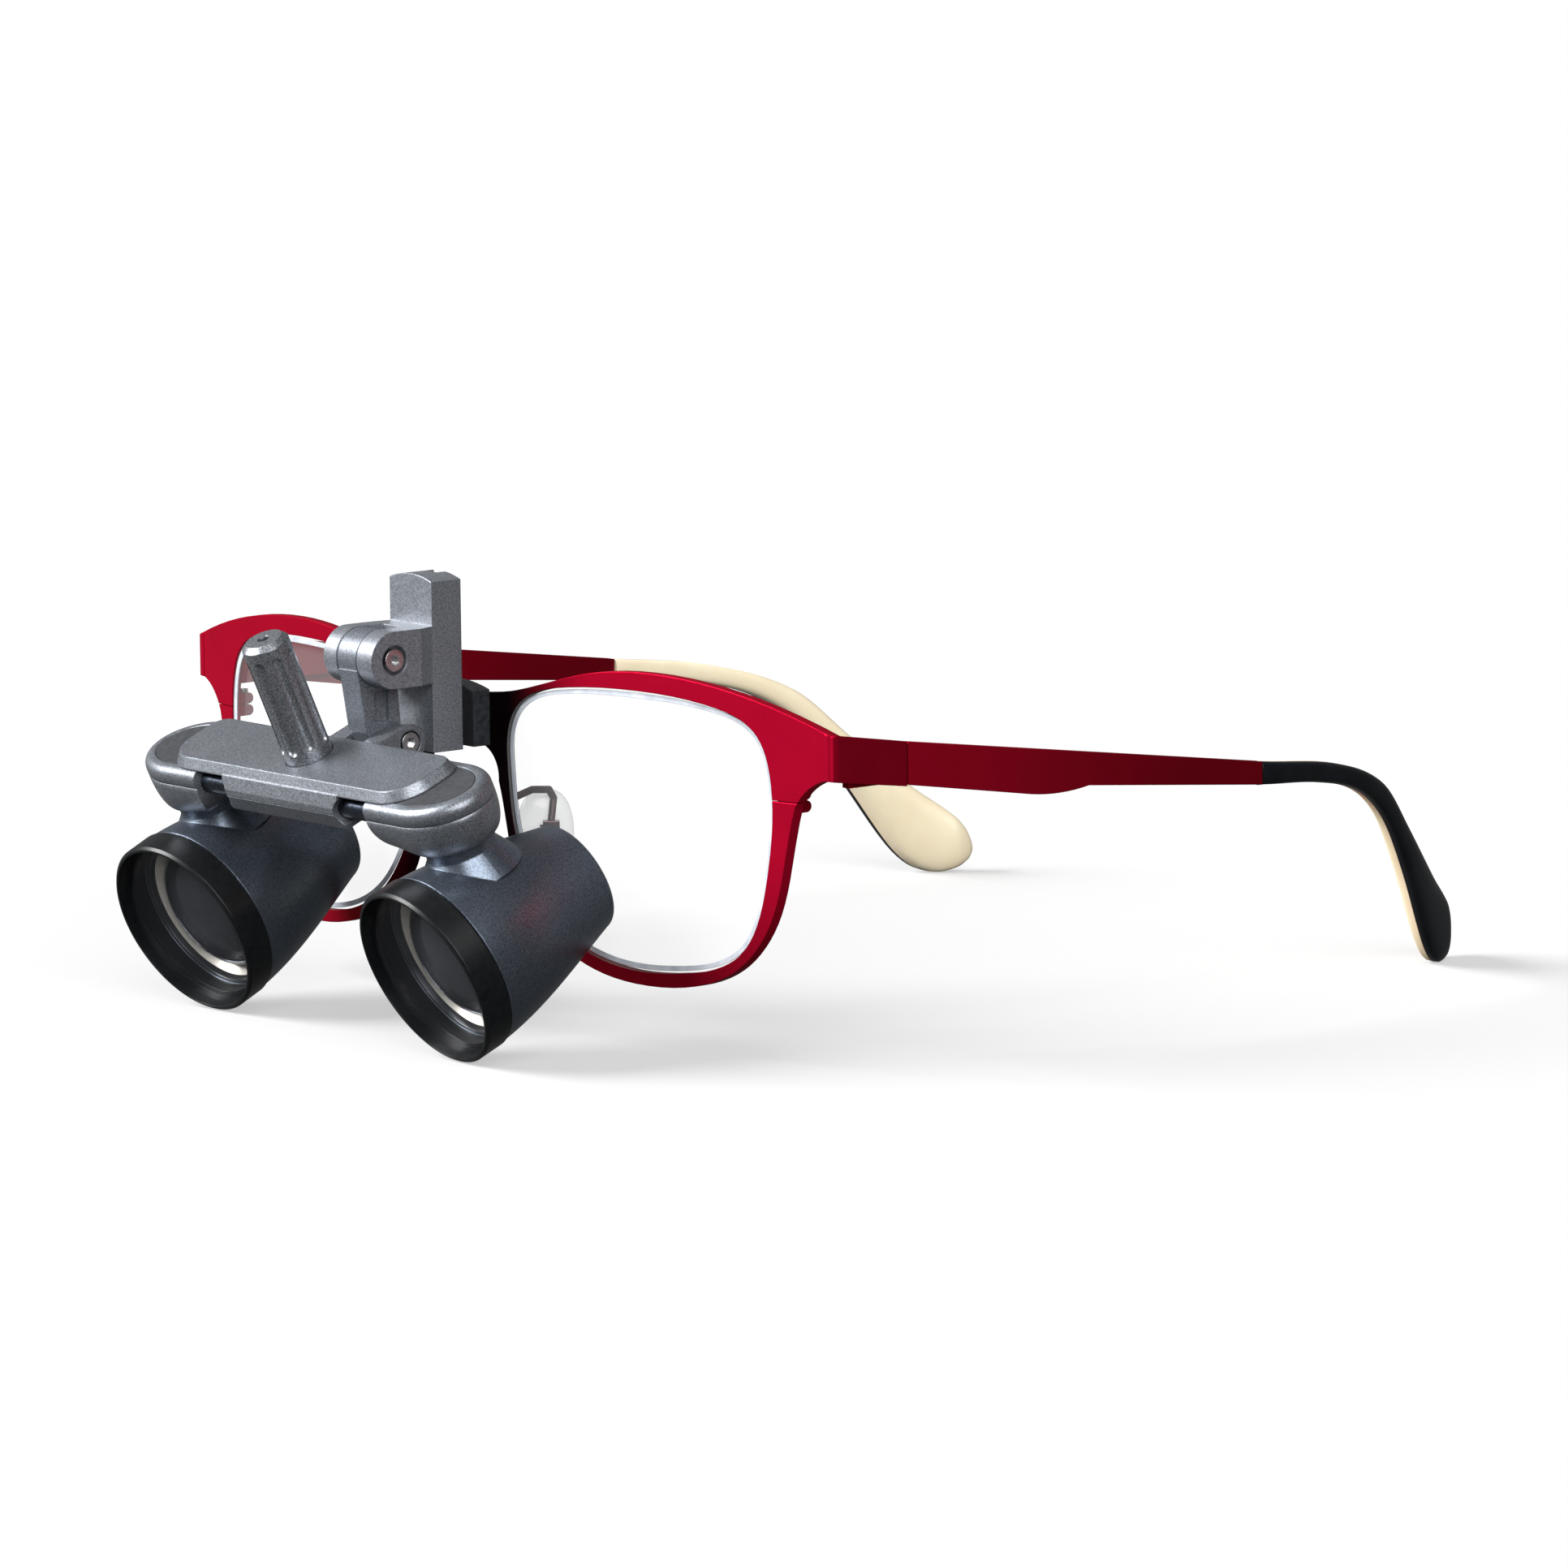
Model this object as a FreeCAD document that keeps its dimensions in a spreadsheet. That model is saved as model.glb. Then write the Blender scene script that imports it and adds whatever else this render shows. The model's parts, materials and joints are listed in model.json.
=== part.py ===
import FreeCAD, Part
import math
import os
from FreeCAD import Placement, Rotation, Vector

# Binocular dental loupes: a full-rim metal spectacle frame that carries two
# telescopes on a flip-up, sliding mount.
#
# Part frame: +X is the wearer's left, +Y runs back along the temples, +Z is up.
# The part stands on z = 0, on both telescope rings and both temple tips, and
# the origin is at the middle of that footprint.
# A piece's own frame is one of these, and its Placement puts it in the part frame:
#   GLASSES  origin on the bridge's front face, over the floor
#   CARRIER  tipped by the declination about X, origin at the lever's foot
#   temples  origin on the hinge axis, y along the temple
#   barrels  origin where the swivel axis crosses the optical axis

X_AXIS, Y_AXIS, Z_AXIS = Vector(1, 0, 0), Vector(0, 1, 0), Vector(0, 0, 1)
LEFT, RIGHT = 1, -1
SIDES = {LEFT: "left", RIGHT: "right"}

DIMENSIONS = {
    "bridge_y": -48.46,          # bridge front face in the part frame
    "sheet": 1.4,               # thickness of the front's metal sheet
    "wrap_radius": 346.0,       # plan radius of the front's face form
    "half_front": 70.4,         # outer face of the endpiece
    "end_top": 44.9,
    "end_bottom": 38.8,
    "bridge_top": 44.4,
    "bridge_bottom": 37.7,
    "lens_middle_x": 35.0,
    "lens_middle_z": 29.0,
    "groove_depth": 0.4,
    "groove_width": 0.5,
    "lens_thick": 1.1,
    "fit": 0.03,                # gap between pieces that seat in each other
    "hinge_x": 67.6,
    "hinge_y": 19.7,
    "bar_thick": 1.4,
    "bar_slope": 8.0,           # temples fall backwards, degrees
    "splay": 0.9,               # temples open outwards, degrees
    "tip_start": 60.6,
    "tip_half": 1.1,            # thickness of each layer of a tip at its front
    "post_width": 9.3,
    "post_depth": 4.85,
    "post_top": 60.9,
    "post_bottom": 37.2,
    "post_front": -7.95,
    "knuckle_radius": 3.85,
    "ear_gap": 0.25,            # room for a washer on each side of the link
    "link_half": 2.05,
    "upper_y": -14.9,
    "upper_z": 50.35,
    "lower_y": -12.3,
    "lower_z": 39.05,
    "boss_radius": 2.5,
    "pin_radius": 1.0,
    "head_radius": 1.5,
    "counterbore_radius": 2.0,
    "saddle_half": 6.6,
    "tilt": 23.8,               # declination of the telescopes, degrees
    "carrier_y": -24.95,
    "carrier_z": 37.9,
    "rod_radius": 1.5,
    "rod_half": 27.0,
    "base_half": 12.9,
    "pod_inner": 19.1,
    "pod_middle": 27.8,
    "parting": -3.5,            # level where upper and lower shells meet
    "neck_top": -8.85,
    "neck_radius": 4.8,
    "optic_level": -22.95,      # optical axis below the carrier's top
    "droop": 1.0,               # telescopes look further down than the carrier
    "converge": 3.0,            # each telescope turns in, degrees
    "ring_radius": 12.85,
    "ring_front": -12.5,
    "ring_length": 4.4,
    "barrel_rear": 14.5,
    "lever_radius": 3.25,
    "lever_length": 17.9,
}

doc = FreeCAD.newDocument("DentalLoupes")
sheet = doc.addObject("Spreadsheet::Sheet", "Size")
for row, (alias, amount) in enumerate(DIMENSIONS.items(), start=1):
    sheet.set(f"A{row}", alias)
    sheet.set(f"B{row}", str(amount))
    sheet.setAlias(f"B{row}", alias)
doc.recompute()

parts = []


def num(expression):
    """A length worked out by the sheet."""
    if isinstance(expression, str):
        return float(sheet.evalExpression(expression))
    return float(expression)


def bind(thing, **sizes):
    """Binds each size to the sheet; a plain number is set as it is."""
    for size, expression in sizes.items():
        if isinstance(expression, str):
            for alias in DIMENSIONS:
                expression = with_sheet(expression, alias)
            thing.setExpression(size, expression)
        else:
            setattr(thing, size, expression)
    return thing


def with_sheet(expression, alias):
    words = expression.split(" ")
    return " ".join("Size." + alias if word == alias else word for word in words)


def add(kind, name):
    thing = doc.addObject(kind, name)
    thing.Label = name
    return thing


def aim(point, axis):
    return Placement(Vector(*point), Rotation(Z_AXIS, axis))


def rod(name, radius, height, foot, axis=Z_AXIS):
    """A cylinder that starts at foot and runs along axis."""
    thing = bind(add("Part::Cylinder", name), Radius=radius, Height=height)
    thing.Placement = aim(foot, axis)
    return thing


def taper(name, foot_radius, end_radius, height, foot, axis=Z_AXIS):
    thing = add("Part::Cone", name)
    bind(thing, Radius1=foot_radius, Radius2=end_radius, Height=height)
    thing.Placement = aim(foot, axis)
    return thing


def ball(name, radius, middle):
    thing = bind(add("Part::Sphere", name), Radius=radius)
    thing.Placement = Placement(Vector(*middle), Rotation())
    return thing


def block(name, sizes, middle):
    """A box with the given sizes along X, Y and Z, about its middle."""
    thing = add("Part::Box", name)
    bind(thing, Length=sizes[0], Width=sizes[1], Height=sizes[2])
    half = Vector(*[num(size) / 2 for size in sizes])
    thing.Placement = Placement(Vector(*middle) - half, Rotation())
    return thing


def join(name, pieces):
    thing = add("Part::MultiFuse", name)
    thing.Shapes = pieces
    return thing


def cut(name, base, tools):
    thing = add("Part::Cut", name)
    thing.Base = base
    thing.Tool = tools[0] if len(tools) == 1 else join(name + "_tools", tools)
    return thing


def overlap(name, one, other):
    thing = add("Part::Common", name)
    thing.Base, thing.Tool = one, other
    return thing


def group(name, pieces):
    """Separate solids that share a node."""
    thing = add("Part::Compound", name)
    thing.Links = pieces
    return thing


def fixed(name, shape):
    """A shape made straight from curves and surfaces."""
    thing = add("Part::Feature", name)
    thing.Shape = shape
    return thing


def keep(name, thing, placement):
    """Names a finished sub-part and puts it in the part frame."""
    thing.Label = name
    thing.Placement = placement.multiply(thing.Placement)
    parts.append(thing)
    return thing


def prism(name, points, start, along):
    """A solid from a closed outline of straight runs, extruded by a vector."""
    corners = [Vector(*point) + Vector(*start) for point in points]
    face = Part.Face(Part.makePolygon(corners + corners[:1]))
    return fixed(name, face.extrude(Vector(*along)))


def smooth(points, closed=False):
    curve = Part.BSplineCurve()
    curve.interpolate(Points=[Vector(*point) for point in points], PeriodicFlag=closed)
    return curve.toShape()


def arc(start, middle, end):
    return Part.Arc(Vector(*start), Vector(*middle), Vector(*end)).toShape()


def line(start, end):
    return Part.LineSegment(Vector(*start), Vector(*end)).toShape()


def socket_screw(name, foot, axis, reach, head="head_radius", pin="pin_radius",
                 head_height=1.2):
    """A socket head screw: the head's underside at foot, the shank along axis."""
    foot = Vector(*foot)
    shank = rod(name + "_shank", pin, reach, foot, axis)
    cap = rod(name + "_cap", head, head_height, foot, axis * -1)
    key = add("Part::Prism", name + "_key")
    bind(key, Circumradius=num(head) * 0.5, Height=head_height)
    key.Placement = aim(foot - axis * (head_height * 0.35), axis * -1)
    return cut(name, join(name + "_solid", [shank, cap]), [key])


GLASSES = Placement(Vector(0, num("bridge_y"), 0), Rotation())
CARRIER = GLASSES.multiply(Placement(
    Vector(0, num("carrier_y"), num("carrier_z")), Rotation(X_AXIS, num("tilt"))))


# ---------------------------------------------------------------- front frame
# Outlines in the front view. Each lies on the bridge's front plane and is
# carried back through the curved sheet. Values are (across, up).

RIM_OPENING = [(9.9, 36.5), (12.4, 43.8), (22.0, 46.9), (36.0, 47.75), (49.5, 46.9),
               (57.6, 43.7), (60.1, 36.0), (59.3, 26.0), (55.0, 15.2), (43.0, 10.9),
               (30.0, 10.9), (17.6, 16.4), (11.7, 25.5)]
BROW = [(70.4, 44.6), (57.0, 48.4), (41.0, 50.25), (26.0, 49.1), (12.0, 45.6), (0.0, 44.4)]
LOWER_RIM = [(63.9, 34.6), (62.3, 28.0), (59.8, 19.5), (54.1, 12.7), (46.0, 9.5),
             (38.0, 8.7), (28.0, 9.6), (18.0, 13.7), (12.3, 19.2), (10.0, 26.0), (8.2, 33.0)]



def opening(side, grow):
    """The lens outline, moved out from the lens's middle by grow."""
    middle = Vector(num("lens_middle_x"), 0, num("lens_middle_z"))
    points = []
    for across, up in RIM_OPENING:
        out = Vector(across, 0, up) - middle
        moved = middle + out * (1 + grow / out.Length)
        points.append((side * moved.x, 0, moved.z))
    return smooth(points, closed=True)


def slab(name, wire):
    """A closed outline in the front view, taken back through the whole wrap."""
    face = Part.Face(Part.Wire(wire if isinstance(wire, list) else [wire]))
    face.translate(Vector(0, -2, 0))
    return fixed(name, face.extrude(Vector(0, 14, 0)))


def shell(name, front, back):
    """The part of the wrapped sheet between two depths behind its front face."""
    radius = num("wrap_radius")
    middle = (0, radius, 0)
    outer = rod(name + "_outer", f"wrap_radius - {front}", 60.0, middle)
    inner = rod(name + "_inner", f"wrap_radius - {back}", 62.0, (0, radius, -1))
    return cut(name, outer, [inner])


def front_outline():
    """The front's whole outer edge, bridge and endpieces included."""
    low, foot = num("end_bottom"), num("bridge_bottom")
    brow = [(across, 0, up) for across, up in BROW]
    brow += [(-across, 0, up) for across, up in reversed(BROW[:-1])]
    edges = [smooth(brow)]
    for side in (RIGHT, LEFT):
        rim = smooth([(side * across, 0, up) for across, up in LOWER_RIM])
        top = (side * num("half_front"), 0, BROW[0][1])
        corner = (side * num("half_front"), 0, low)
        notch = (side * 69.0, 0, low)
        rim_start, rim_end = LOWER_RIM[0], LOWER_RIM[-1]
        start = (side * rim_start[0], 0, rim_start[1])
        end = (side * rim_end[0], 0, rim_end[1])
        edges += [line(top, corner), line(corner, notch),
                  arc(notch, (side * 66.1, 0, 37.35), start), rim,
                  arc(end, (side * 7.0, 0, 36.4), (side * 4.4, 0, foot))]
    edges.append(line((-4.4, 0, foot), (4.4, 0, foot)))
    return Part.Wire(Part.__sortEdges__(edges))


def endpiece_lug(side):
    """The endpiece's side, turned back along the temple as far as the hinge."""
    start, end = 6.9, num("hinge_y") - 0.15
    top, low = num("end_top"), num("end_bottom")
    outer, thick = num("half_front"), num("bar_thick")
    points = [(0, start, low), (0, start, top), (0, end, top - 2.0), (0, end, low - 1.75)]
    lug = prism(f"lug_{SIDES[side]}", points, (side * (outer - thick), 0, 0),
                (side * thick, 0, 0))
    round_off = add("Part::Fillet", f"lug_round_{SIDES[side]}")
    round_off.Base = lug
    front_outer = [index + 1 for index, edge in enumerate(lug.Shape.Edges)
                   if abs(edge.CenterOfMass.y - start) < 0.01
                   and abs(abs(edge.CenterOfMass.x) - outer) < 0.01]
    round_off.Edges = [(index, 1.2, 1.2) for index in front_outer]
    return round_off


def frame_front():
    sheet_metal = overlap("front_sheet", slab("front_slab", [front_outline()]),
                          shell("sheet_shell", 0.0, num("sheet")))
    metal = join("front_metal", [sheet_metal, endpiece_lug(LEFT), endpiece_lug(RIGHT)])
    groove_front = (num("sheet") - num("groove_width")) / 2
    cutters = []
    for side, word in SIDES.items():
        cutters.append(slab(f"opening_{word}", opening(side, 0.0)))
        groove = slab(f"groove_slab_{word}", opening(side, num("groove_depth")))
        band = shell(f"groove_shell_{word}", groove_front, groove_front + num("groove_width"))
        cutters.append(overlap(f"groove_{word}", groove, band))
        cutters.append(block(f"rim_split_{word}", (7.0, 14.0, 0.12), (side * 63.0, 6.0, 35.5)))
        for height in (42.3, 39.8):
            cutters.append(rod(f"bridge_hole_{word}_{height:.0f}", 0.75, 6.0,
                               (side * 4.0, -1.0, height), Y_AXIS))
    keep("frame_front", cut("front", metal, cutters), GLASSES)


def lens(side):
    word = SIDES[side]
    gap = num("fit")
    body = overlap(f"lens_body_{word}", slab(f"lens_slab_{word}", opening(side, -gap)),
                   shell(f"lens_shell_{word}", 0.15, 0.15 + num("lens_thick")))
    depth = (num("sheet") - num("groove_width")) / 2 + gap
    bevel = overlap(f"bevel_{word}",
                    slab(f"bevel_slab_{word}", opening(side, num("groove_depth") - gap)),
                    shell(f"bevel_shell_{word}", depth, depth + num("groove_width") - 2 * gap))
    keep(f"lens_{word}", join(f"lens_solid_{word}", [body, bevel]), GLASSES)


def rim_locks():
    """Closing blocks behind each rim's outer side, drawn together by a screw."""
    middle, back, depth, width = 62.0, 7.22, 1.7, 1.6
    round_radius = 0.775
    blocks, screws = [], []
    for side, word in SIDES.items():
        for height, name in ((36.33, "upper"), (34.67, "lower")):
            tab = block(f"lock_{name}_{word}", (width, depth, 2 * round_radius),
                        (side * middle, back + depth / 2, height))
            end = rod(f"lock_end_{name}_{word}", round_radius, width,
                      (side * middle - width / 2, back + depth, height), X_AXIS)
            hole = rod(f"lock_hole_{name}_{word}", 0.45, 4.0,
                       (side * middle, back + 1.3, height - 2.0))
            blocks.append(cut(f"lock_{name}_block_{word}",
                              join(f"lock_{name}_whole_{word}", [tab, end]), [hole]))
        screws.append(socket_screw(f"lock_screw_{word}", (side * middle, back + 1.3, 37.13),
                                   Z_AXIS * -1, 3.0, 0.7, 0.42, 0.45))
    keep("rim_lock_blocks", group("locks", blocks), GLASSES)
    keep("rim_lock_screws", group("lock_screws", screws), GLASSES)


def wire_run(name, points, radius):
    """Round wire through the points, with a ball at each turn."""
    pieces = []
    for index, (start, end) in enumerate(zip(points, points[1:])):
        run = Vector(*end) - Vector(*start)
        pieces.append(rod(f"{name}_run_{index}", radius, run.Length, start, run))
    for index, point in enumerate(points[1:-1]):
        pieces.append(ball(f"{name}_turn_{index}", radius, point))
    return join(name, pieces)


PAD_MIDDLE = (8.2, 7.8, 24.6)       # centre of a nose pad: across, back, up
PAD_TURN = 35.0                     # the pads face the nose and a little back
PAD_ARM = [(9.6, 1.7, 30.8), (9.9, 4.4, 31.6), (10.3, 6.9, 31.4), (10.5, 7.5, 30.2),
           (10.5, 7.05, 27.25)]


def pad_frame(side):
    across, back, up = PAD_MIDDLE
    turn = Rotation(Z_AXIS, -side * PAD_TURN)
    return GLASSES.multiply(Placement(Vector(side * across, back, up), turn))


def nose_pads():
    """Soft pads, each in a metal box on a wire arm."""
    arms = []
    for side, word in SIDES.items():
        arms.append(wire_run(f"pad_arm_{word}",
                             [(side * across, back, up) for across, back, up in PAD_ARM], 0.5))
        middle = (side * 2.35, 0.7, 1.4)
        box = block(f"pad_box_{word}", (1.5, 2.2, 2.4), middle)
        hole = rod(f"pad_box_hole_{word}", 0.45, 4.0, (middle[0], -1.4, middle[2]), Y_AXIS)
        keep(f"pad_socket_{word}", cut(f"pad_socket_cut_{word}", box, [hole]), pad_frame(side))
        screw = socket_screw(f"pad_pin_{word}", (middle[0], middle[1] - 1.12, middle[2]), Y_AXIS,
                             2.2, 0.7, 0.4, 0.4)
        keep(f"pad_screw_{word}", screw, pad_frame(side))
        pad = add("Part::Ellipsoid", f"pad_{word}")
        bind(pad, Radius1=6.6, Radius2=1.3, Radius3=3.9)
        keep(f"nose_pad_{word}", pad, pad_frame(side))
    keep("pad_arms", group("arms", arms), GLASSES)


# -------------------------------------------------------------------- temples

KNUCKLE_LEVELS = (37.45, 38.75, 40.05, 41.35)   # joints between hinge knuckles
KNUCKLE = 1.3
LEAF_THICK = 1.36
LEAF_LENGTH = 7.6
PIN_BORE = 0.6


def knuckle(name, low, high, middle):
    return rod(name, KNUCKLE, high - low, (middle[0], middle[1], low))


def hinges():
    """Front leaves and screws, on the endpieces' inner faces."""
    leaves, screws = [], []
    across, back = num("hinge_x"), num("hinge_y")
    low, first, second, high = KNUCKLE_LEVELS
    for side, word in SIDES.items():
        middle = (side * across, back)
        plate = block(f"front_plate_{word}", (LEAF_THICK, LEAF_LENGTH, high - low),
                      (side * (across + LEAF_THICK / 2), back - 1.1 - LEAF_LENGTH / 2,
                       (low + high) / 2))
        reach = block(f"front_reach_{word}", (LEAF_THICK, 1.4, high - low),
                      (side * (across + LEAF_THICK / 2), back - 0.85, (low + high) / 2))
        notch = rod(f"front_notch_{word}", 1.45, second - first + 0.1,
                    (middle[0], back, first - 0.05))
        ears = [knuckle(f"front_low_{word}", low, first - 0.04, middle),
                knuckle(f"front_high_{word}", second + 0.04, high, middle)]
        bore = rod(f"front_bore_{word}", PIN_BORE, 8.0, (middle[0], back, low - 1))
        leaf = cut(f"front_leaf_{word}",
                   join(f"front_leaf_solid_{word}", [plate, reach] + ears), [notch, bore])
        leaves.append(leaf)
        screws.append(socket_screw(f"hinge_pin_{word}", (middle[0], back, high + 0.02),
                                   Z_AXIS * -1, 3.9, 1.0, 0.56, 0.5))
    keep("front_hinge_leaves", group("front_leaves", leaves), GLASSES)
    keep("hinge_screws", group("hinge_pins", screws), GLASSES)


def temple_frame(side):
    turn = Rotation(Z_AXIS, -side * num("splay"))
    return GLASSES.multiply(Placement(Vector(side * num("hinge_x"), num("hinge_y"), 0), turn))


# Side view of the temple from the hinge axis: (back, up)
BAR_BELLY = [(0.15, 37.2), (20.6, 33.95)]
BAR_NECK = [(20.6, 33.95), (25.5, 33.65), (30.5, 34.15)]
TIP_TOP = [(60.6, 34.35), (76.6, 32.2), (88.0, 28.1), (95.5, 21.0), (104.0, 12.8), (110.2, 7.2)]
TIP_END = [(110.2, 7.2), (111.7, 2.9), (106.6, 0.0)]
TIP_LOW = [(106.6, 0.0), (101.2, 4.4), (95.0, 14.7), (89.0, 22.9), (82.0, 27.7), (60.6, 31.2)]


BAR_INNER = 1.4             # inner face of the bar, outside the hinge axis
CORE = (0.7, 5.0, 1.5)     # the bar's tongue inside the tip
CORE_LEVEL = 31.95
TIP_BEND_START = 56.0


def temple(side):
    word = SIDES[side]
    inner, thick = BAR_INNER, num("bar_thick")
    end = num("tip_start") - 0.05

    def at(points):
        return [(side * inner, back, up) for back, up in points]

    top_start, top_end, low_end = at([(0.15, 42.85), (end, 34.36), (end, 31.25)])
    belly, neck = at(BAR_BELLY), at(BAR_NECK)
    edges = [line(top_start, top_end), line(top_end, low_end), line(low_end, neck[-1]),
             arc(*neck), line(*belly), line(belly[0], top_start)]
    face = Part.Face(Part.Wire(Part.__sortEdges__(edges)))
    bar = fixed(f"temple_bar_{word}", face.extrude(Vector(side * thick, 0, 0)))
    core = block(f"temple_core_{word}", CORE,
                 (side * (inner + thick / 2), end + CORE[1] / 2 - 0.5, CORE_LEVEL))
    keep(f"temple_{word}", join(f"temple_whole_{word}", [bar, core]), temple_frame(side))

    low, first, second, high = KNUCKLE_LEVELS
    plate = block(f"temple_plate_{word}", (LEAF_THICK, LEAF_LENGTH, high - low),
                  (side * LEAF_THICK / 2, 1.6 + LEAF_LENGTH / 2, (low + high) / 2))
    reach = block(f"temple_reach_{word}", (LEAF_THICK, 1.8, second - first - 0.04),
                  (side * LEAF_THICK / 2, 0.9, (first + second) / 2))
    middle = knuckle(f"temple_knuckle_{word}", first + 0.02, second - 0.02, (0, 0))
    bore = rod(f"temple_bore_{word}", PIN_BORE, 8.0, (0, 0, low - 1))
    leaf = cut(f"temple_leaf_solid_{word}", join(f"temple_leaf_{word}", [plate, reach, middle]),
               [bore])
    keep(f"hinge_leaf_{word}", leaf, temple_frame(side))


def tip_edge(side, offset, growth):
    """One face of a tip's layers in plan: it curves inward ever more steeply."""
    points = []
    for back in (58.0, 72.0, 86.0, 99.0, 114.0):
        run = back - TIP_BEND_START
        bend = run ** 2 * (0.00766 - 0.0000238 * run)
        across = BAR_INNER + num("bar_thick") / 2 - bend + offset + growth * run
        points.append((side * across, back, -5))
    return points


def tip_halves(side):
    """The ear tip, curved inward in plan and moulded in two layers."""
    word = SIDES[side]
    edges = [smooth([(0, back, up) for back, up in run]) for run in (TIP_TOP, TIP_END, TIP_LOW)]
    edges.append(line((0, *TIP_LOW[-1]), (0, *TIP_TOP[0])))
    outline = Part.Face(Part.Wire(edges))
    outline.translate(Vector(-side * 28, 0, 0))
    half = num("tip_half")
    layers = {"tip_shell": (tip_edge(side, half, 0.018), tip_edge(side, 0.01, 0.0)),
              "tip_liner": (tip_edge(side, -0.01, 0.0), tip_edge(side, -half, -0.033))}
    for name, (outer, inner) in layers.items():
        plan = Part.Wire([smooth(outer), line(outer[-1], inner[-1]), smooth(inner),
                          line(inner[0], outer[0])])
        curved = fixed(f"{name}_curve_{word}", Part.Face(plan).extrude(Vector(0, 0, 60)))
        side_view = fixed(f"{name}_side_{word}", outline.extrude(Vector(side * 40, 0, 0)))
        whole = overlap(f"{name}_half_{word}", curved, side_view)
        slot = block(f"{name}_slot_{word}", (CORE[0] + 0.1, CORE[1] + 0.4, CORE[2] + 0.1),
                     (side * (BAR_INNER + num("bar_thick") / 2),
                      num("tip_start") + CORE[1] / 2 - 0.5, CORE_LEVEL))
        keep(f"{name}_{word}", cut(f"{name}_cut_{word}", whole, [slot]), temple_frame(side))


# --------------------------------------------------------- bridge mount, post

RAIL_NECK, RAIL_HEAD, RAIL_LENGTH = 2.4, 4.4, 8.0
RAIL_OUT = 2.0                      # the rail's head stands this far off the saddle
SADDLE_FRONT, SADDLE_LOW, SADDLE_TOP, SADDLE_RISE = -2.78, 37.7, 45.2, 0.9
LINER = 0.3
CLAMP_LEVELS = (42.3, 39.8)
CLAMP_ACROSS = 4.0
EAR_OUTER = {LEFT: 5.6, RIGHT: 5.1}     # the screw head's ear is the wider one


def domed(name, half, low, shoulder, rise, front, back):
    """A block whose top is arched across X."""
    edges = [line((-half, front, low), (half, front, low)),
             line((half, front, low), (half, front, shoulder)),
             arc((half, front, shoulder), (0, front, shoulder + rise), (-half, front, shoulder)),
             line((-half, front, shoulder), (-half, front, low))]
    return fixed(name, Part.Face(Part.Wire(edges)).extrude(Vector(0, back - front, 0)))


def clamp_holes(name, radius, start, length):
    return [rod(f"{name}_{word}_{height:.0f}", radius, length,
                (side * CLAMP_ACROSS, start, height), Y_AXIS)
            for side, word in SIDES.items() for height in CLAMP_LEVELS]


def bridge_mount():
    """A saddle with a T rail in front of the bridge, clamped from behind it."""
    half = num("saddle_half")
    middle = (SADDLE_LOW + SADDLE_TOP) / 2
    body = domed("saddle_body", half, SADDLE_LOW, SADDLE_TOP, SADDLE_RISE, SADDLE_FRONT, -0.02)
    neck = block("rail_neck", (RAIL_NECK, RAIL_OUT, RAIL_LENGTH),
                 (0, SADDLE_FRONT - RAIL_OUT / 2, middle))
    head = block("rail_head", (RAIL_HEAD, 1.1, RAIL_LENGTH), (0, SADDLE_FRONT - RAIL_OUT, middle))
    keep("bridge_saddle", cut("saddle", join("saddle_solid", [body, neck, head]),
                              clamp_holes("saddle_hole", 0.65, -1.7, 3.0)), GLASSES)
    liner = domed("liner_body", half - 0.05, SADDLE_LOW + 0.1, SADDLE_TOP - 0.1,
                  SADDLE_RISE - 0.05, SADDLE_FRONT - LINER, SADDLE_FRONT - 0.02)
    window = block("liner_window", (RAIL_NECK + 0.1, 2.0, RAIL_LENGTH + 0.3),
                   (0, SADDLE_FRONT, middle))
    keep("slide_liner", cut("liner", liner, [window]), GLASSES)
    behind = num("sheet") + 0.08
    plate = domed("plate_body", 5.6, 38.3, 43.4, 0.5, behind, behind + 1.22)
    keep("clamp_plate", cut("plate", plate, clamp_holes("plate_hole", 0.65, 0.0, 5.0)), GLASSES)
    screws = [socket_screw(f"clamp_screw_{word}_{height:.0f}",
                           (side * CLAMP_ACROSS, behind + 1.24, height), Y_AXIS * -1, 4.2,
                           1.0, 0.6, 0.6)
              for side, word in SIDES.items() for height in CLAMP_LEVELS]
    keep("clamp_screws", group("clamp_pins", screws), GLASSES)


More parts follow.
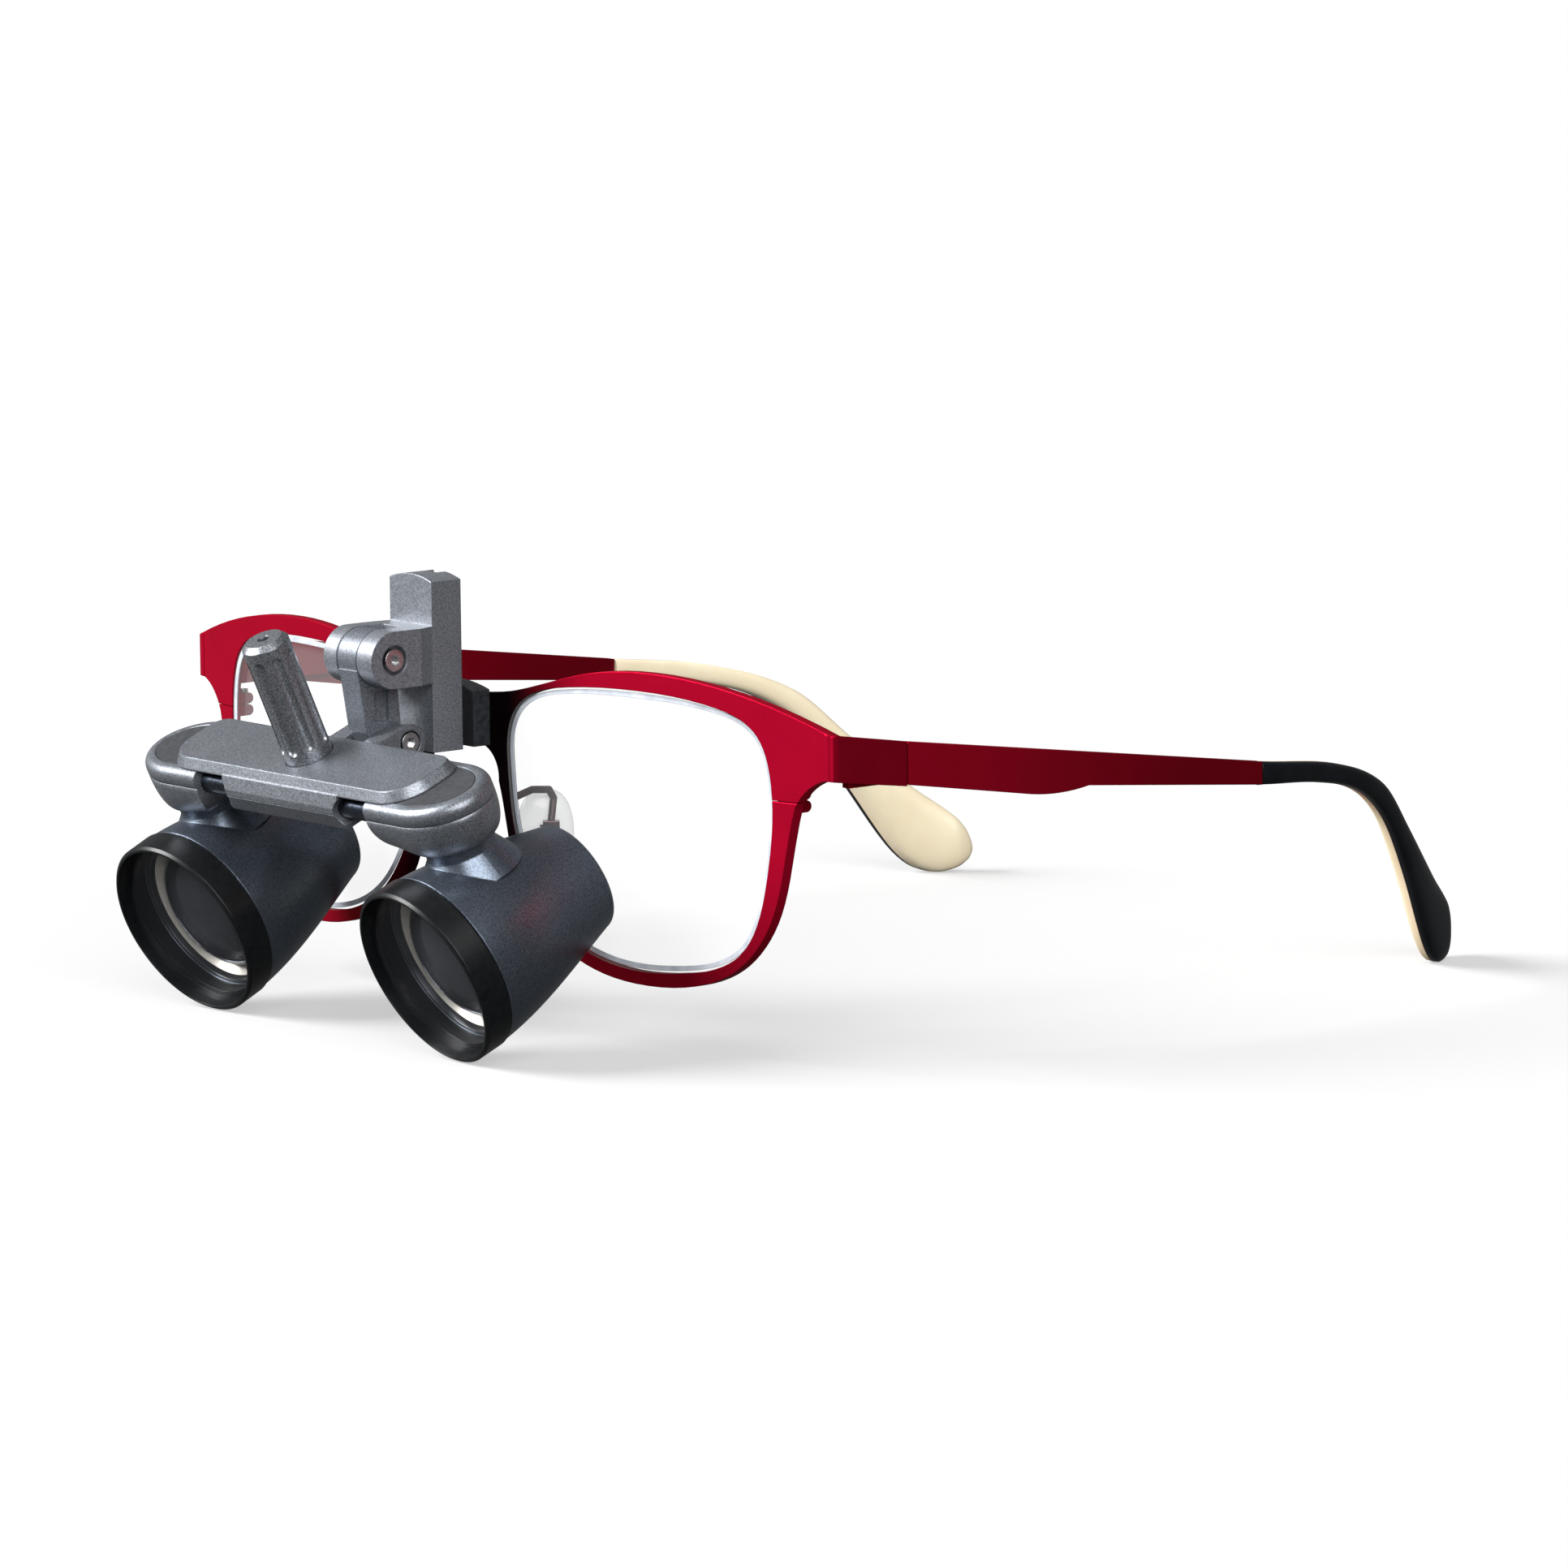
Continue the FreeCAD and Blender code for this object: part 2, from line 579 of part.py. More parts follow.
def post():
    """The upright that slides on the saddle's rail and carries the flip joint."""
    half = num("post_width / 2")
    front = num("post_front")
    back = front + num("post_depth")
    reach, level, radius = num("upper_y"), num("upper_z"), num("knuckle_radius")
    inner = num("link_half + ear_gap")
    low, top = num("post_bottom"), num("post_top")
    pieces = [domed("post_body", half, low, top - 0.8, 0.8, front, back),
              block("ear_root", (2 * inner + 0.2, 3.9, "2 * knuckle_radius"),
                    (0, front - 1.0, level))]
    for side, word in SIDES.items():
        outer = EAR_OUTER[side]
        plan = [(side * inner, reach, 0), (side * outer, reach, 0),
                (side * outer, front - 2.5, 0), (side * half, front, 0),
                (side * half, front + 1.0, 0), (side * inner, front + 1.0, 0)]
        pieces.append(prism(f"ear_arm_{word}", plan, (0, 0, level - radius),
                            (0, 0, 2 * radius)))
        pieces.append(rod(f"ear_round_{word}", "knuckle_radius", outer - inner,
                          (min(side * inner, side * outer), reach, level), X_AXIS))
    middle = (low + top) / 2
    length = top - low + 2
    tools = [block("slot_neck", (RAIL_NECK + 0.12, 1.6, length), (0, back - 0.7, middle)),
             block("slot_head", (RAIL_HEAD + 0.12, 1.3, length - 4.5),
                   (0, SADDLE_FRONT - RAIL_OUT, middle - 2.5)),
             rod("upper_bore", "pin_radius + 0.03", 14.0, (-7, reach, level), X_AXIS),
             rod("upper_counterbore", "counterbore_radius", 2.0,
                 (EAR_OUTER[LEFT] - 1.2, reach, level), X_AXIS),
             rod("upper_nut_pocket", "counterbore_radius", 2.0,
                 (-EAR_OUTER[RIGHT] - 1.4, reach, level), X_AXIS)]
    keep("post", cut("post_solid", join("post_whole", pieces), tools), GLASSES)
    screw = socket_screw("upper_screw", (EAR_OUTER[LEFT] - 1.17, reach, level), X_AXIS * -1, 9.0)
    keep("upper_pivot_screw", screw, GLASSES)


# Side view of the link's web between its two barrels: (back, up)
WEB = [(-18.5, 48.9), (-18.2, 47.6), (-17.0, 40.4), (-16.2, 38.9), (-12.9, 36.8),
       (-10.0, 39.0), (-11.5, 41.6), (-12.0, 47.4)]


def flip_link():
    """The link between the flip joint and the declination joint."""
    half = num("link_half")
    top, low = (num("upper_y"), num("upper_z")), (num("lower_y"), num("lower_z"))
    web = prism("link_web", [(0, back, up) for back, up in WEB], (-half, 0, 0),
                (2 * half, 0, 0))
    barrels = [rod("link_top", "knuckle_radius - 0.05", "2 * link_half", (-half, *top), X_AXIS),
               rod("link_low", "boss_radius - 0.1", "2 * link_half", (-half, *low), X_AXIS)]
    tools = [block(f"link_pocket_{word}", (1.6, 2.3, 4.0), (side * half, -14.5, 43.9))
             for side, word in SIDES.items()]
    tools += [rod("link_top_bore", "pin_radius + 0.05", 6.0, (-3, *top), X_AXIS),
              rod("link_low_bore", "pin_radius + 0.05", 6.0, (-3, *low), X_AXIS)]
    keep("flip_link", cut("link", join("link_solid", barrels + [web]), tools), GLASSES)

    washers = []
    for side, word in SIDES.items():
        start = min(side * (half + 0.03), side * (half + 0.22))
        disc = rod(f"washer_disc_{word}", "knuckle_radius - 0.4", 0.19, (start, *top), X_AXIS)
        hole = rod(f"washer_hole_{word}", "pin_radius + 0.06", 1.0, (start - 0.5, *top), X_AXIS)
        washers.append(cut(f"washer_{word}", disc, [hole]))
    keep("link_washers", group("washers", washers), GLASSES)


# -------------------------------------------------------------------- carrier

COVER_HALF, COVER_FRONT, COVER_BACK = 27.0, -6.1, 5.3
COVER_LOW, COVER_TOP = -1.1, 0.3
BASE_LOW = -5.95
SCREW_ROW = -0.6
COVER_SCREWS = 9.8
ROD_ROWS = (-4.6, 3.4)
ROD_LEVEL = -3.5
EAR_WIDTH = 3.2


def carrier_point(y, z):
    """A point of the glasses' side view, in the carrier's own frame."""
    inside = CARRIER.inverse().multVec(GLASSES.multVec(Vector(0, y, z)))
    return inside.y, inside.z


def plate_outline(half, front, back, front_round, back_round, level):
    """A plate's outline with larger rounds in front than behind."""
    diagonal = 1 - math.sqrt(0.5)
    edges = [line((front_round - half, front, level), (half - front_round, front, level)),
             line((back_round - half, back, level), (half - back_round, back, level))]
    for side in SIDES:
        for along, turn, inward in ((front, front_round, 1), (back, back_round, -1)):
            edges.append(arc((side * (half - turn), along, level),
                             (side * (half - turn * diagonal),
                              along + inward * turn * diagonal, level),
                             (side * half, along + inward * turn, level)))
        edges.append(line((side * half, front + front_round, level),
                          (side * half, back - back_round, level)))
    return Part.Wire(Part.__sortEdges__(edges))


def rods_through(name, half, slack):
    return [rod(f"{name}_rod_{index}", num("rod_radius") + slack, 2 * half,
                (-half, row, ROD_LEVEL), X_AXIS) for index, row in enumerate(ROD_ROWS)]


def scoops(name):
    """The hollow ends of the middle body, round the rods."""
    return [rod(f"{name}_scoop_{word}", 2.2, 16.0,
                (side * (num("base_half") + 1.3), -8.0, ROD_LEVEL + 0.1), Y_AXIS)
            for side, word in SIDES.items()]


def carrier_cover():
    half, level = num("base_half"), num("parting")
    top = plate_outline(COVER_HALF - 0.9, COVER_FRONT + 0.9, COVER_BACK - 0.5, 4.6, 2.4, COVER_TOP)
    foot = plate_outline(COVER_HALF, COVER_FRONT, COVER_BACK, 5.6, 2.8, COVER_LOW)
    plate = fixed("cover_plate", Part.makeLoft([foot, top], True, True))
    skirt = prism("cover_skirt", [(0, -6.1, COVER_LOW + 0.2), (0, -6.95, level + 0.9),
                                  (0, -7.05, level), (0, 5.5, level), (0, 5.3, COVER_LOW + 0.2)],
                  (-half, 0, 0), (2 * half, 0, 0))
    tools = [rod("lever_hole", 1.1, 6.0, (0, 0, -2.5)),
             rod("lever_head_room", 2.0, 1.5, (0, 0, level - 0.2)),
             rod("lever_seat", "lever_radius + 0.12", 1.0, (0, 0, 0))]
    tools += [rod(f"cover_thread_{word}", 0.75, 2.0, (side * COVER_SCREWS, SCREW_ROW, level - 0.1))
              for side, word in SIDES.items()]
    keep("carrier_cover", cut("cover", join("cover_solid", [plate, skirt]),
                              tools + rods_through("cover", 14, 0.02) + scoops("cover")), CARRIER)


def carrier_base():
    half, level = num("base_half"), num("parting")
    pivot_y, pivot_z = carrier_point(num("lower_y"), num("lower_z"))
    section = [(0, -7.05, level), (0, -6.3, BASE_LOW), (0, 4.6, BASE_LOW), (0, 5.5, level)]
    pieces = [prism("base_body", section, (-half, 0, -0.02), (2 * half, 0, 0))]
    inner = num("link_half") + 0.1
    ear_section = [(0, 4.0, BASE_LOW), (0, 4.0, level - 0.02), (0, 5.58, level - 0.02),
                   (0, 5.58, level + 2.0), (0, pivot_y - 0.6, pivot_z + 2.42),
                   (0, pivot_y, pivot_z - 2.5)]
    for side, word in SIDES.items():
        pieces.append(prism(f"carrier_ear_{word}", ear_section, (side * inner, 0, 0),
                            (side * EAR_WIDTH, 0, 0)))
        pieces.append(rod(f"carrier_boss_{word}", "boss_radius", EAR_WIDTH,
                          (min(side * inner, side * (inner + EAR_WIDTH)), pivot_y, pivot_z),
                          X_AXIS))
    tools = rods_through("base", 14, 0.02) + scoops("base")
    tools += [rod("lower_bore", "pin_radius + 0.03", 14.0, (-7, pivot_y, pivot_z), X_AXIS),
              rod("lower_counterbore", 1.65, 1.4, (inner + EAR_WIDTH - 1.0, pivot_y, pivot_z),
                  X_AXIS),
              block("link_gap", ("2 * link_half + 0.2", 11.0, 12.0), (0, pivot_y + 0.1, pivot_z))]
    for side, word in SIDES.items():
        spot = (side * COVER_SCREWS, SCREW_ROW, BASE_LOW - 0.2)
        tools.append(rod(f"base_screw_hole_{word}", 0.8, 4.0, spot))
        tools.append(rod(f"base_screw_sink_{word}", 1.35, 0.8, spot))
    keep("carrier_base", cut("base", join("base_solid", pieces), tools), CARRIER)

    screws = [socket_screw(f"cover_pin_{word}", (side * COVER_SCREWS, SCREW_ROW, -5.38),
                           Z_AXIS, 3.2, 1.25, 0.7, 0.55) for side, word in SIDES.items()]
    keep("cover_screws", group("cover_pins", screws), CARRIER)
    keep("guide_rods", group("rods", rods_through("guide", num("rod_half"), 0.0)), CARRIER)
    screw = socket_screw("lower_screw", (inner + EAR_WIDTH - 0.97, pivot_y, pivot_z), X_AXIS * -1,
                         9.0, 1.4, "pin_radius", 1.0)
    keep("lower_pivot_screw", screw, CARRIER)


def lever():
    """The sterilisable grip: a fluted round bar screwed onto the carrier."""
    length = num("lever_length")
    body = rod("lever_body", "lever_radius", "lever_length", (0, 0, 0.02))
    soft = add("Part::Chamfer", "lever_soft")
    soft.Base = body
    rim = [index + 1 for index, edge in enumerate(body_edges(body))
           if abs(edge.CenterOfMass.z - length - 0.02) < 0.01 and edge.Closed]
    soft.Edges = [(index, 0.7, 0.7) for index in rim]
    flutes = []
    for index in range(8):
        angle = math.radians(index * 45 + 22.5)
        out = num("lever_radius") + 0.42
        spot = (out * math.cos(angle), out * math.sin(angle))
        flutes.append(rod(f"flute_{index}", 0.95, 12.4, (*spot, 2.6)))
        flutes.append(ball(f"flute_low_{index}", 0.95, (*spot, 2.6)))
        flutes.append(ball(f"flute_high_{index}", 0.95, (*spot, 15.0)))
    drill = rod("lever_drill", 0.8, 2.0, (0, 0, length - 1.8))
    thread = rod("lever_thread", 1.05, 6.0, (0, 0, -0.1))
    keep("lever_grip", cut("lever", soft, flutes + [drill, thread]), CARRIER)
    keep("lever_screw", socket_screw("lever_pin", (0, 0, -2.22), Z_AXIS, 7.9, 1.9, 1.0, 0.9),
         CARRIER)


def body_edges(thing):
    doc.recompute()
    return thing.Shape.Edges


# ----------------------------------------------------------------------- pods

POD_SHOULDER, POD_REACH, POD_HALF = 26.6, 8.9, 6.9
POD_ROW = -0.1
POD_TOP = -1.15
FUNNEL_TOP, FUNNEL_RADIUS = -6.2, 5.7
SINK_FLOOR = -5.15
POD_SCREWS = {"inner": 21.3, "outer": 32.4}
INLAY_EDGE, INLAY_DEPTH = 1.9, 0.5
BORE_END = 29.7


def pod_loop(shrink, level, inner=None):
    """The left pod's plan at one level: straight sides and an elliptical end."""
    inner = num("pod_inner") if inner is None else inner
    half, reach = POD_HALF - shrink, POD_REACH - shrink
    front, back = POD_ROW - half, POD_ROW + half
    middle = Vector(POD_SHOULDER, POD_ROW, level)
    ellipse = Part.Ellipse(middle + Vector(reach, 0, 0), middle + Vector(0, half, 0), middle)
    end = Part.ArcOfEllipse(ellipse, -math.pi / 2, math.pi / 2).toShape()
    return Part.Wire([line((inner, front, level), (POD_SHOULDER, front, level)), end,
                      line((POD_SHOULDER, back, level), (inner, back, level)),
                      line((inner, back, level), (inner, front, level))])


def handed(name, shape, side):
    """A shape made for the left side, mirrored where it is the right's."""
    if side == RIGHT:
        shape = shape.mirror(Vector(), X_AXIS)
    return fixed(f"{name}_{SIDES[side]}", shape)


def pod_stack(name, side, levels):
    """Levels are (shrink of the outer sides, shrink of the inner end, height)."""
    loops = [pod_loop(shrink, level, num("pod_inner") + inner)
             for shrink, inner, level in levels]
    return handed(name, Part.makeLoft(loops, True, True), side)


def pod(side):
    """A sliding head: two shells on the rods, with the telescope's neck below."""
    word = SIDES[side]
    level = num("parting")
    middle = side * num("pod_middle")
    bore_start = min(side * 15.0, side * BORE_END)

    def bores(name):
        return [rod(f"{name}_bore_{index}_{word}", num("rod_radius") + 0.03, BORE_END - 15.0,
                    (bore_start, row, ROD_LEVEL), X_AXIS) for index, row in enumerate(ROD_ROWS)]

    def screw_holes(name, radius, low, height):
        return [rod(f"{name}_{place}_{word}", radius, height,
                    (side * across, SCREW_ROW, low)) for place, across in POD_SCREWS.items()]

    upper = pod_stack("pod_upper_solid", side,
                      [(0.0, 0.0, level + 0.02), (0.1, 0.0, -2.5), (0.4, 0.0, -1.85),
                       (0.85, 0.0, -1.4), (1.35, 0.0, POD_TOP)])
    well = handed("inlay_well", Part.makeLoft(
        [pod_loop(INLAY_EDGE, POD_TOP - INLAY_DEPTH, 20.6),
         pod_loop(INLAY_EDGE, POD_TOP + 0.5, 20.6)], True, True), side)
    keep(f"pod_upper_{word}", cut(f"pod_upper_cut_{word}", upper,
                                  [well] + bores("pod_upper")
                                  + screw_holes("upper_thread", 0.55, -4.0, 1.7)), CARRIER)
    inlay = handed("inlay_solid", Part.makeLoft(
        [pod_loop(INLAY_EDGE + 0.05, POD_TOP - INLAY_DEPTH + 0.02, 20.65),
         pod_loop(INLAY_EDGE + 0.05, POD_TOP - 0.02, 20.65)], True, True), side)
    keep(f"pod_inlay_{word}", inlay, CARRIER)

    tray = pod_stack("pod_tray", side,
                     [(0.0, 0.0, level), (0.25, 0.2, -4.5), (0.75, 0.9, -5.3),
                      (1.5, 1.8, -6.0), (2.6, 2.8, -6.7)])
    funnel = taper(f"pod_funnel_{word}", FUNNEL_RADIUS, "neck_radius + 0.1",
                   FUNNEL_TOP - num("neck_top"), (middle, POD_ROW, FUNNEL_TOP), Z_AXIS * -1)
    tools = [rod(f"pod_room_{word}", 2.0, 7.6 + level, (middle, POD_ROW, -7.6)),
             rod(f"swivel_hole_{word}", 1.1, 5.0, (middle, POD_ROW, -10.0))]
    tools += bores("pod_lower") + screw_holes("lower_hole", 0.55, -7.0, 4.0)
    tools += screw_holes("lower_sink", 0.95, SINK_FLOOR - 3.0, 3.0)
    keep(f"pod_lower_{word}",
         cut(f"pod_lower_cut_{word}", join(f"pod_lower_solid_{word}", [tray, funnel]), tools),
         CARRIER)

    screws = [socket_screw(f"pod_pin_{place}_{word}", (side * across, SCREW_ROW, SINK_FLOOR - 0.03),
                           Z_AXIS, 2.6, 0.85, 0.5, 0.45) for place, across in POD_SCREWS.items()]
    keep(f"pod_screws_{word}", group(f"pod_pins_{word}", screws), CARRIER)


# ----------------------------------------------------------------- telescopes

def swivel_frame(side):
    """Origin where the swivel axis crosses the optical axis, z up the swivel."""
    spot = Vector(side * num("pod_middle"), POD_ROW, num("optic_level"))
    return CARRIER.multiply(Placement(spot, Rotation(Z_AXIS, -side * num("converge"))))


def lean(thing):
    """Turns a piece made along the swivel's y onto the optical axis."""
    thing.Placement = LEAN.multiply(thing.Placement)
    return thing


LEAN = Placement(Vector(), Rotation(X_AXIS, num("droop")))
EYE_START = 12.4
CAVITY_FRONT, CAVITY_REAR = 11.3, 6.3
BAFFLE_WALL = 0.5


def barrel_profile():
    """Half section of the housing's outside: full in front, drawn in behind."""
    start = num("ring_front + ring_length") + 0.02
    rear = num("barrel_rear")
    curve = smooth([(0, start, 12.65), (0, -2.5, 12.0), (0, 6.0, 10.05), (0, rear - 0.9, 7.95)])
    edges = [line((0, start, 0), (0, start, 12.65)), curve,
             arc((0, rear - 0.9, 7.95), (0, rear - 0.2, 7.6), (0, rear, 7.1)),
             line((0, rear, 7.1), (0, rear, 0)), line((0, rear, 0), (0, start, 0))]
    return Part.Face(Part.Wire(edges))


def telescope_body(side):
    word = SIDES[side]
    start = num("ring_front + ring_length") + 0.02
    height = num("neck_top - optic_level") - 0.04
    housing = lean(fixed(f"housing_{word}", barrel_profile().revolve(Vector(), Y_AXIS, 360)))
    neck = rod(f"neck_{word}", "neck_radius", height - 8.0, (0, 0, 8.0))
    flare = taper(f"flare_{word}", 7.2, "neck_radius", 3.4, (0, 0, 9.2))
    cavity = lean(taper(f"cavity_{word}", CAVITY_FRONT, CAVITY_REAR, EYE_START - start,
                        (0, start, 0), Y_AXIS))
    mouth = lean(rod(f"eye_mouth_{word}", 6.5, 4.0, (0, EYE_START - 0.1, 0), Y_AXIS))
    tapped = rod(f"neck_thread_{word}", 1.05, 4.0, (0, 0, height - 2.6))
    keep(f"barrel_{word}", cut(f"barrel_cut_{word}",
                               join(f"barrel_whole_{word}", [housing, neck, flare]),
                               [cavity, mouth, tapped]), swivel_frame(side))
    screw = socket_screw(f"swivel_pin_{word}", (0, 0, height + 1.3), Z_AXIS * -1, 3.6, 1.85,
                         "pin_radius", 1.1)
    keep(f"swivel_screw_{word}", screw, swivel_frame(side))


def telescope_optics(side):
    """The front ring with the objective, the baffle, and the eyepiece."""
    word = SIDES[side]
    place = swivel_frame(side).multiply(LEAN)
    front = num("ring_front")
    start = num("ring_front + ring_length") + 0.02

    ring = rod(f"ring_solid_{word}", "ring_radius", "ring_length", (0, front, 0), Y_AXIS)
    doc.recompute()
    soft = add("Part::Chamfer", f"ring_soft_{word}")
    soft.Base = ring
    soft.Edges = [(index + 1, 0.35, 0.35) for index, edge in enumerate(ring.Shape.Edges)
                  if edge.Closed]
    mouth = rod(f"ring_bore_{word}", 12.2, 2.6, (0, front - 0.1, 0), Y_AXIS)
    seat = rod(f"ring_seat_{word}", CAVITY_FRONT, 6.0, (0, front - 0.1, 0), Y_AXIS)
    keep(f"front_ring_{word}", cut(f"ring_cut_{word}", soft, [mouth, seat]), place)

    disc = rod(f"objective_disc_{word}", 12.15, 1.6, (0, front + 0.85, 0), Y_AXIS)
    dome = ball(f"objective_dome_{word}", 46.0, (0, front + 45.7, 0))
    keep(f"objective_{word}", overlap(f"objective_cut_{word}", disc, dome), place)

    length = EYE_START - start - 0.4
    tube = taper(f"baffle_outer_{word}", CAVITY_FRONT - 0.05, CAVITY_REAR, length,
                 (0, start + 0.1, 0), Y_AXIS)
    bore = taper(f"baffle_bore_{word}", CAVITY_FRONT - 0.05 - BAFFLE_WALL,
                 CAVITY_REAR - BAFFLE_WALL, length + 0.1, (0, start + 0.05, 0), Y_AXIS)
    keep(f"baffle_{word}", cut(f"baffle_cut_{word}", tube, [bore]), place)

    eye_ring = rod(f"eye_ring_solid_{word}", 6.45, 2.0, (0, EYE_START, 0), Y_AXIS)
    eye_seat = rod(f"eye_seat_{word}", 5.9, 1.6, (0, EYE_START - 0.1, 0), Y_AXIS)
    eye_bore = rod(f"eye_bore_{word}", 5.1, 4.0, (0, EYE_START - 0.1, 0), Y_AXIS)
    keep(f"eyepiece_ring_{word}",
         cut(f"eye_ring_cut_{word}", eye_ring, [eye_seat, eye_bore]), place)
    glass = rod(f"eye_glass_{word}", 5.85, 1.4, (0, EYE_START + 0.03, 0), Y_AXIS)
    hollow = ball(f"eye_hollow_{word}", 30.0, (0, EYE_START + 31.0, 0))
    keep(f"eyepiece_{word}", cut(f"eyepiece_cut_{word}", glass, [hollow]), place)


frame_front()
rim_locks()
nose_pads()
hinges()
bridge_mount()
post()
flip_link()
carrier_cover()
carrier_base()
lever()
for each_side in SIDES:
    lens(each_side)
    temple(each_side)
    tip_halves(each_side)
    pod(each_side)
    telescope_body(each_side)
    telescope_optics(each_side)

doc.recompute()

for thing in doc.Objects:
    if "Invalid" in thing.State or "Error" in thing.State:
        raise RuntimeError(f"{thing.Label} failed: {thing.State}")
for piece in parts:
    if piece.Shape.isNull() or not piece.Shape.isValid():
        raise RuntimeError(f"{piece.Label} is not a sound shape")

os.makedirs("parts", exist_ok=True)
for piece in parts:
    piece.Shape.exportStep(f"parts/{piece.Label}.step")

whole = FreeCAD.BoundBox()
for piece in parts:
    whole.add(piece.Shape.BoundBox)
print(len(parts), "pieces", whole)
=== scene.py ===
import json
import math

import bmesh
import bpy
from mathutils import Matrix, Quaternion, Vector


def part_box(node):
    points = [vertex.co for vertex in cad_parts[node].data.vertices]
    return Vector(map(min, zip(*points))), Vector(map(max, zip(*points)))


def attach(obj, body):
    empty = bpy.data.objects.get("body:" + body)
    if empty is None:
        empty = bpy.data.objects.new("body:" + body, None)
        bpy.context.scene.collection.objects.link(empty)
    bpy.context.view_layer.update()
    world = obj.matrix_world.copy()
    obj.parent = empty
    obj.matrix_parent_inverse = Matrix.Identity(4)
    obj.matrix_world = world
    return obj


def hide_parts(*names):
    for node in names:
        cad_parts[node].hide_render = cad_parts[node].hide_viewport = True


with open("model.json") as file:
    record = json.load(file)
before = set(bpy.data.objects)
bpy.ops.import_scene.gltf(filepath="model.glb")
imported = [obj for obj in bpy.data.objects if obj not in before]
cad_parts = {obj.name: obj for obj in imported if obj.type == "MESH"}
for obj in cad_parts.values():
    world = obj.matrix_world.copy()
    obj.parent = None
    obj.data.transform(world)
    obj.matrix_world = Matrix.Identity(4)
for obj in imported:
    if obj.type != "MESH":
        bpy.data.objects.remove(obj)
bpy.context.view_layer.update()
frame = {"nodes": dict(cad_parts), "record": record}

# The looks of the dental loupes: materials for every node, then the shapes that
# STEP geometry cannot hold (soft pads, moulded tips, drawn heads, lens edges, the
# second lenses), then the studio. Units are metres, and MM turns millimetres into
# them.

MM = 0.001
LEFT, RIGHT = 1, -1
SIDES = {LEFT: "left", RIGHT: "right"}
NODES = frame["nodes"]
BODY = {node: body for body, group in frame["record"]["behaviour"]["bodies"].items()
        for node in group}


# ------------------------------------------------------------------ materials
def new_material(name, colour, rough, metal=0.0, **more):
    """A principled material; more holds other sockets by name, _ for a space."""
    material = bpy.data.materials.new(name)
    material.use_nodes = True
    shader = material.node_tree.nodes["Principled BSDF"]
    shader.inputs["Base Color"].default_value = (*colour, 1)
    shader.inputs["Roughness"].default_value = rough
    shader.inputs["Metallic"].default_value = metal
    for socket, value in more.items():
        shader.inputs[socket.replace("_", " ")].default_value = value
    return material


def node(material, kind, **settings):
    """A shader node; settings are its properties or, by name, its sockets."""
    made = material.node_tree.nodes.new(kind)
    for key, value in settings.items():
        if hasattr(made, key):
            setattr(made, key, value)
        else:
            made.inputs[key.replace("_", " ")].default_value = value
    return made


def link(material, start, end):
    material.node_tree.links.new(start, end)


def place(material):
    return node(material, "ShaderNodeTexCoord").outputs["Object"]


def noise(material, size, detail=3.0):
    """Noise with features of the given size in millimetres."""
    made = node(material, "ShaderNodeTexNoise", Scale=1 / (size * MM), Detail=detail)
    link(material, place(material), made.inputs["Vector"])
    return made.outputs["Fac"]


def ramp(material, factor, stops):
    """A colour ramp: stops are (position, colour)."""
    made = node(material, "ShaderNodeValToRGB")
    elements = made.color_ramp.elements
    while len(elements) < len(stops):
        elements.new(0.5)
    for element, (position, colour) in zip(elements, stops):
        element.position = position
        element.color = (*colour, 1)
    link(material, factor, made.inputs["Fac"])
    return made.outputs["Color"]


def mixed(material, factor, first, second, blend="MIX"):
    """First and second are colours or sockets; factor a number or a socket."""
    made = node(material, "ShaderNodeMix", data_type="RGBA", blend_type=blend)
    for value, socket in ((factor, made.inputs[0]), (first, made.inputs[6]),
                          (second, made.inputs[7])):
        if isinstance(value, bpy.types.NodeSocket):
            link(material, value, socket)
        elif isinstance(value, tuple):
            socket.default_value = (*value, 1)
        else:
            socket.default_value = value
    return made.outputs[2]


def span(material, value, low, high):
    """0 at low, 1 at high, smooth between; low may be above high."""
    made = node(material, "ShaderNodeMapRange", interpolation_type="SMOOTHSTEP")
    link(material, value, made.inputs["Value"])
    made.inputs["From Min"].default_value = low * MM
    made.inputs["From Max"].default_value = high * MM
    return made.outputs["Result"]


def along(material, axis):
    """The place along one axis of the whole assembly."""
    parts = node(material, "ShaderNodeSeparateXYZ")
    link(material, place(material), parts.inputs[0])
    return parts.outputs[axis]


def away(material):
    """Distance from the middle plane."""
    made = node(material, "ShaderNodeMath", operation="ABSOLUTE")
    link(material, along(material, "X"), made.inputs[0])
    return made.outputs[0]


def paint(material, colour):
    link(material, colour, material.node_tree.nodes["Principled BSDF"].inputs["Base Color"])


def grain(material, size, depth, edge):
    """Fine surface relief, in millimetres, over edges softened by the radius edge."""
    bump = node(material, "ShaderNodeBump", Strength=1.0, Distance=depth * MM)
    link(material, noise(material, size), bump.inputs["Height"])
    round_off = node(material, "ShaderNodeBevel", samples=4, Radius=edge * MM)
    link(material, round_off.outputs[0], bump.inputs["Normal"])
    link(material, bump.outputs[0], material.node_tree.nodes["Principled BSDF"].inputs["Normal"])
    return material


def speckled(name, dark, light, rough, metal, size=0.22, relief=0.012, edge=0.25):
    """Metallic paint with a fine sparkle and slow unevenness."""
    material = new_material(name, light, rough, metal)
    fleck = ramp(material, noise(material, size, 4.0), [(0.36, dark), (0.62, light)])
    cloud = ramp(material, noise(material, 9.0), [(0.3, (0.9, 0.9, 0.91)), (0.7, (1, 1, 1))])
    paint(material, mixed(material, 1.0, fleck, cloud, "MULTIPLY"))
    return grain(material, size, relief, edge)


